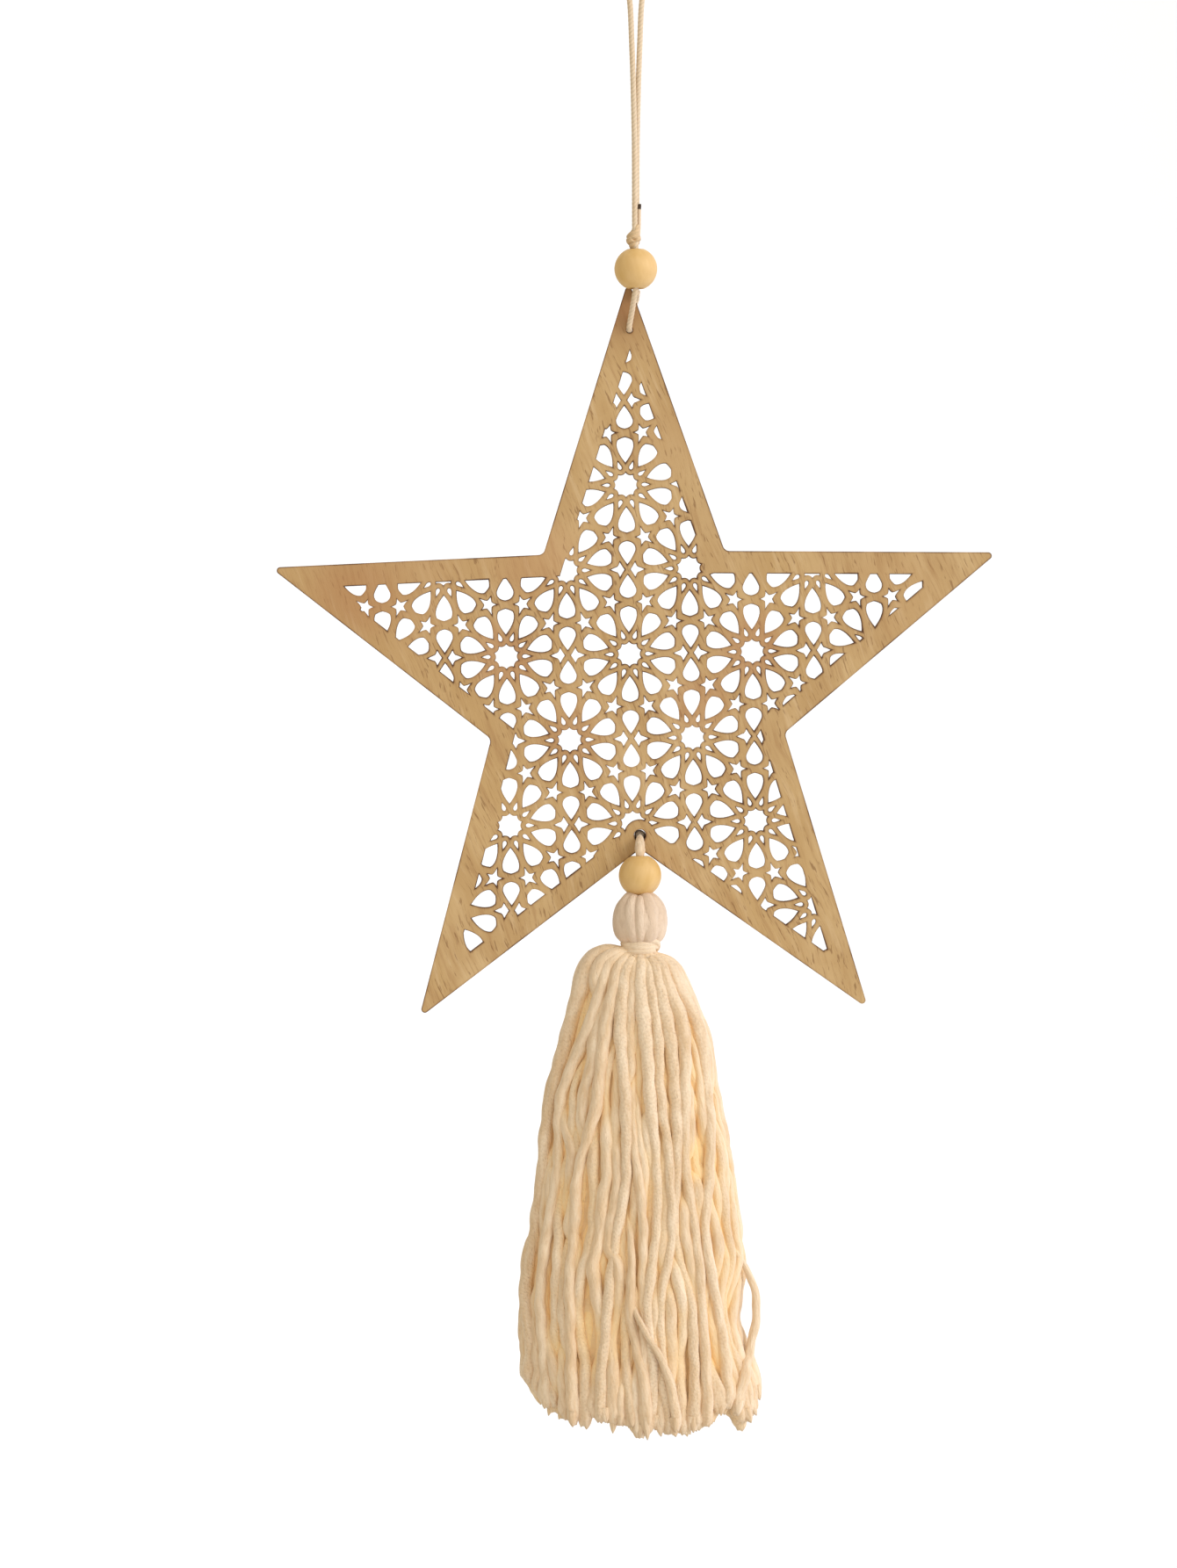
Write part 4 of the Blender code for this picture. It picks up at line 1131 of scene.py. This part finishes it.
# How thick each yarn is from row to row: broad at the shoulder, thin in the neck and while still inside.
swells = SHOULDER_SWELL + rng.uniform(-0.12, 0.2, yarns)
swell = swells + (1 - swells) * np.clip((down - 12) / 45, 0, 1)
grown_by = np.clip((down - comes_out + 6) / 30, 0, 1)
fullness = np.select(
    [(comes_out == 0) & (kinds < EMERGING), outer],
    [swell, 0.5 + 0.5 * grown_by],
    0.55 + 0.45 * loose[..., 0],
)
past_neck = np.clip(np.arange(len(down)) / np.argmax(down[:, 0] > 2.5), 0, 1)[:, None]
fullness = fullness * thickness * (0.45 + 0.55 * past_neck)

# The yarns press each other apart. In each round, every yarn but those on top moves away from the others that
# come too near, is held within its layer's share of the skirt's form, and has its moves evened out along it.
moved = np.zeros_like(place)
limit = np.select([outer, kinds == SECOND], [1.0, 0.91], 0.78)
for _ in range(PUSH_ROUNDS):
    now = place + moved
    apart = now[:, :, None] - now[:, None]
    gap = np.linalg.norm(apart, axis=-1) + 1e-9
    wanted = TOUCHING * YARN_RADIUS / MM * (fullness[:, :, None] + fullness[:, None])
    push = np.clip(wanted - gap, 0, None) * (1 - np.eye(yarns))
    moved += PUSH_SHARE * np.sum(apart / gap[..., None] * push[..., None], axis=2)
    now = place + moved
    half_width = np.where(now[..., 0] < 0, left, right)
    reach = np.hypot(now[..., 0] / half_width, now[..., 1] / half_depth) / limit
    moved = (now / np.maximum(reach, 1)[..., None] - place) * (kinds != ON_TOP)[:, None]
    moved[1:-1] = 0.25 * moved[:-2] + 0.5 * moved[1:-1] + 0.25 * moved[2:]
place = place + moved

# The hem: each yarn's length follows the cut edge, which rises at the left, and a little chance. Only what
# hangs below 60 mm is stretched or shortened for it.
hem_across = (-34, -32, -30, -27, -22, -17, -10, -5, -1, 3, 10, 18, 25, 28, 31, 34)
hem_down = (114, 120, 123.5, 126.5, 129.5, 131.5, 130, 131, 135, 132.5, 134, 132, 128, 134, 130, 126)
hem = np.interp(place[-1, :, 0], hem_across, hem_down)
hem -= rng.uniform(0, HEM_RAGGEDNESS, yarns) * np.where(outer, 1, 1.6)
left_share = np.clip(-place[..., 0] / left, 0, 1) ** 1.5
yarn_down = right_down + (left_down - right_down) * left_share
yarn_down = np.where(yarn_down > 60, 60 + (yarn_down - 60) * (hem - 60) / 75, yarn_down)
skirt_lines = np.concatenate([place, -yarn_down[..., None]], axis=-1) * MM + [TASSEL_AXIS, 0, NECK_BOTTOM]
skirt_lines = smooth(skirt_lines, 2).transpose(1, 0, 2)
skirt_lay = distances(skirt_lines)
phase = rng.uniform(0, 2 * math.pi, (yarns, 1, 2))
crimp = np.sin(2 * math.pi * skirt_lay[..., None] / (rng.uniform(8, 12, (yarns, 1, 2)) * MM) + phase)
skirt_lines[..., :2] += 0.1 * MM * crimp * np.clip(skirt_lay[..., None] / (40 * MM) - 0.3, 0, 1)
radius = YARN_RADIUS * smooth(fullness, 2).T
radius *= 1 + 0.06 * np.sin(2 * math.pi * skirt_lay / (rng.uniform(14, 30, (yarns, 1)) * MM) + phase[..., 0])
to_end = skirt_lay[:, -1:] - skirt_lay
radius *= (1 + 0.3 * np.exp(-((to_end / (13 * MM)) ** 2))) * np.clip(to_end / (2.6 * MM), 0.2, 1) ** 0.5
skirt_reach = yarn_reach(YARN_SIDES, skirt_lay, radius, *SKIRT_TWIST)
# The cut ends fray: their outline opens into a few loose lobes.
lobes = 0.2 * np.exp(-((to_end / (7 * MM)) ** 2))[..., None] * np.cos(3 * angles(YARN_SIDES) + phase[..., :1])
skirt_reach *= 1 + lobes
level = np.stack([-np.sin(around), np.cos(around), 0 * around], axis=-1)[:, None]
skirt_rings = carried(skirt_lines, skirt_reach, level)
form = smooth(np.concatenate([left, right, half_depth], axis=1), 2) + 1.1 * YARN_RADIUS / MM


def hidden_share(points, form):
    """How deep points lie under the skirt's outside: 0 there, and 1 from about 3 mm inside it.

    The form holds the half widths at the left and the right and the half depth. A point's share of the way
    out is the length of (x over the half width, y over the half depth)."""
    x, y = (points[..., 0] - TASSEL_AXIS) / MM, points[..., 1] / MM
    half_left, half_right, half_deep = form
    reach = np.hypot(x / np.where(x < 0, half_left, half_right), y / half_deep)
    return np.clip((1 - reach) / np.maximum(reach, 0.05) * np.hypot(x, y) / 2.6 - 0.15, 0, 1)


# How far each point lies inside the bundle sets the yarn's painted warm colour and glow. Both fade towards
# the open cut ends.
hidden = hidden_share(skirt_rings, form.T[:, :, None]) * np.clip(to_end / (12 * MM), 0.2, 1)[..., None]
# Some yarns show their twist, most clearly the four long ones in the middle of the front, which are paler.
MIDDLE_FRONT = slice(3, 7)
tone = rng.uniform(-0.2, 0.3, yarns)
ridged = np.where(rng.uniform(0, 1, yarns) < 0.4, 0.25, 0.0)
tone[MIDDLE_FRONT] -= 0.12
ridged[MIDDLE_FRONT] = 0.45
order = np.argsort(np.arctan2(place[-1, :, 1], place[-1, :, 0]))
for number, members in enumerate(np.array_split(order, SKIRT_PIECES), 1):
    name = f"tassel_skirt_yarns_{number}"
    values = {"tone": tone[members], "ridged": ridged[members], "hidden": hidden[members]}
    skirt = ringed_piece(name, skirt_rings[members], skirt_lay[members], cream_yarn, **values)
    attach(skirt, "root")
    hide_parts("tassel")

# The frayed ends: from each cut yarn a few loose tufts of fibre stick out, each tapering to a soft point.
TUFTS = 3
TUFT_RADIUS = 1.3 * MM
TUFT_ROWS = 8
ends = skirt_lines[:, -1]
heading = ends - skirt_lines[:, -6]
heading /= np.linalg.norm(heading, axis=-1, keepdims=True)
shape = (yarns, TUFTS, 1)
turn = 2 * math.pi * (np.arange(TUFTS)[:, None] + rng.uniform(0, 1, shape)) / TUFTS
root_at = YARN_RADIUS * rng.uniform(0.2, 0.6, shape)
splay = MM * rng.uniform(-0.3, 0.8, shape)
sweep = MM * rng.uniform(-0.6, 0.6, (*shape, 2))
reaches = MM * (0.1 + 0.5 * rng.uniform(0, 1, shape) + 3.0 * rng.uniform(0, 1, shape) ** 14)
s = np.linspace(0, 1, TUFT_ROWS)
off = root_at + splay * s**1.5
sideways = np.stack([off * np.cos(turn), off * np.sin(turn)], axis=-1) + sweep * s[:, None] ** 2
tuft_lines = ends[:, None, None] + heading[:, None, None] * (s * (reaches + 4 * MM) - 4 * MM)[..., None]
tuft_lines[..., :2] += sideways
tuft_lines = tuft_lines.reshape(-1, TUFT_ROWS, 3)
tuft_lay = distances(tuft_lines)
taper = (1 - s**3.5) * rng.uniform(0.7, 1.1, (len(tuft_lines), 1)) + 0.1
tuft_reach = yarn_reach(8, tuft_lay, TUFT_RADIUS * taper, *SKIRT_TWIST)
tuft_rings = carried(tuft_lines, tuft_reach, np.array([0.0, 1.0, 0.0]))
tuft_tone = rng.uniform(-0.1, 0.4, len(tuft_lines))
# The tufts take a share of the same painted warm colour and glow.
tuft_hidden = 0.3 * hidden_share(tuft_rings, form[-1])
tufts = ringed_piece(
    "tassel_frayed_ends", tuft_rings, tuft_lay, cream_yarn, tone=tuft_tone, hidden=tuft_hidden
)
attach(tufts, "root")
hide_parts("tassel")

# The yarns in the middle of the bundle, packed so close that only their ribbed outside shows between the
# others.
# They are drawn in the deep tone as painted shade, with half the painted warm glow.
INNER_SHARE = 0.93
INNER_RIBS = 46
INNER_RELIEF = 0.035
INNER_END = 120
rows = np.flatnonzero((down[:, 0] > 4) & (down[:, 0] < INNER_END))
around = angles(4 * INNER_RIBS)
half_width = np.where(np.cos(around) < 0, left[rows], right[rows])
share = INNER_SHARE * (1 + INNER_RELIEF * (np.abs(np.sin(INNER_RIBS / 2 * around + 0.02 * down[rows])) - 0.5))
x, y = share * half_width * np.cos(around), share * half_depth[rows] * np.sin(around)
inner_rings = np.stack([x, y, 0 * x - down[rows]], axis=-1) * MM + [TASSEL_AXIS, 0, NECK_BOTTOM]
inner_lay = down[rows].T * MM
inner = ringed_piece("tassel_inner_yarns", inner_rings[None], inner_lay, cream_yarn, tone=[1.0], hidden=[0.5])
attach(inner, "root")
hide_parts("tassel")

# The studio: one seamless pale bowl, level far below the ornament and rising into a wall all round it, under
# a white sky, brighter and less warm to the right, and one soft lamp at the right, in front and above.
BOWL_HEIGHT = -1.8
BOWL_FLAT = 2.5
BOWL_BEND = 3.5
steps = np.linspace(0, 1, 25)
bend = np.stack([np.sin(steps * math.pi / 2), 1 - np.cos(steps * math.pi / 2)], axis=1)
bend = bend * BOWL_BEND + [BOWL_FLAT, BOWL_HEIGHT]
profile = np.concatenate([[(0.02, BOWL_HEIGHT), (1.2, BOWL_HEIGHT)], bend, [(6.0, 5.0)]])
reach, height = profile[::-1, :, None].transpose(1, 0, 2)
around = angles(96)
bowl = np.stack([reach * np.cos(around), reach * np.sin(around), height + 0 * around], axis=-1)
bowl_lay = np.arange(len(bowl)) * 0.1
backdrop_finish, shader, node, place = new_finish("pale_paper", 0.95)
weave = stretched_noise(node, place, (2, 2, 2), 2.0)
connect(backdrop_finish, shader, mixed(node, weave, (0.97, 0.975, 0.99, 1), (0.98, 0.985, 1.0, 1)))
backdrop = ringed_piece("pale_backdrop", bowl[None], bowl_lay[None], backdrop_finish)
backdrop.visible_diffuse = False
backdrop.visible_glossy = False
backdrop.visible_shadow = False
backdrop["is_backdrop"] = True

# The sky's strength in the middle, by what share it grows to the right, and its colour at each side.
SKY_STRENGTH = 0.91
SKY_LEAN = 0.3
SKY_LEFT, SKY_RIGHT = (1.0, 0.935, 0.76, 1), (1.0, 1.03, 1.15, 1)
world = bpy.data.worlds.new("studio_sky")
world.use_nodes = True
sky = world.node_tree.nodes["Background"]
node = node_adder(world.node_tree)
to_right = node("SeparateXYZ", {"Vector": node("TexCoord", {}, "Generated")}, "X")
hue = mixed(node, plus(node, times(node, to_right, 0.5), 0.5), SKY_LEFT, SKY_RIGHT)
brightness = times(node, plus(node, times(node, to_right, SKY_LEAN), 1.0), SKY_STRENGTH)
world.node_tree.links.new(hue, sky.inputs["Color"])
world.node_tree.links.new(brightness, sky.inputs["Strength"])
scene.world = world
lamp_light = bpy.data.lights.new("soft_lamp", "SUN")
lamp_light.energy = 1.16
lamp_light.angle = math.radians(32)
lamp_light.color = (1.0, 0.98, 0.95)
lamp = bpy.data.objects.new("soft_lamp", lamp_light)
lamp.rotation_euler = Vector((0.8, -0.45, 0.4)).to_track_quat("Z", "Y").to_euler()
scene.collection.objects.link(lamp)
scene.view_settings.view_transform = "Standard"

[[list(corner) for corner in box] for box in (cad_box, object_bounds())]
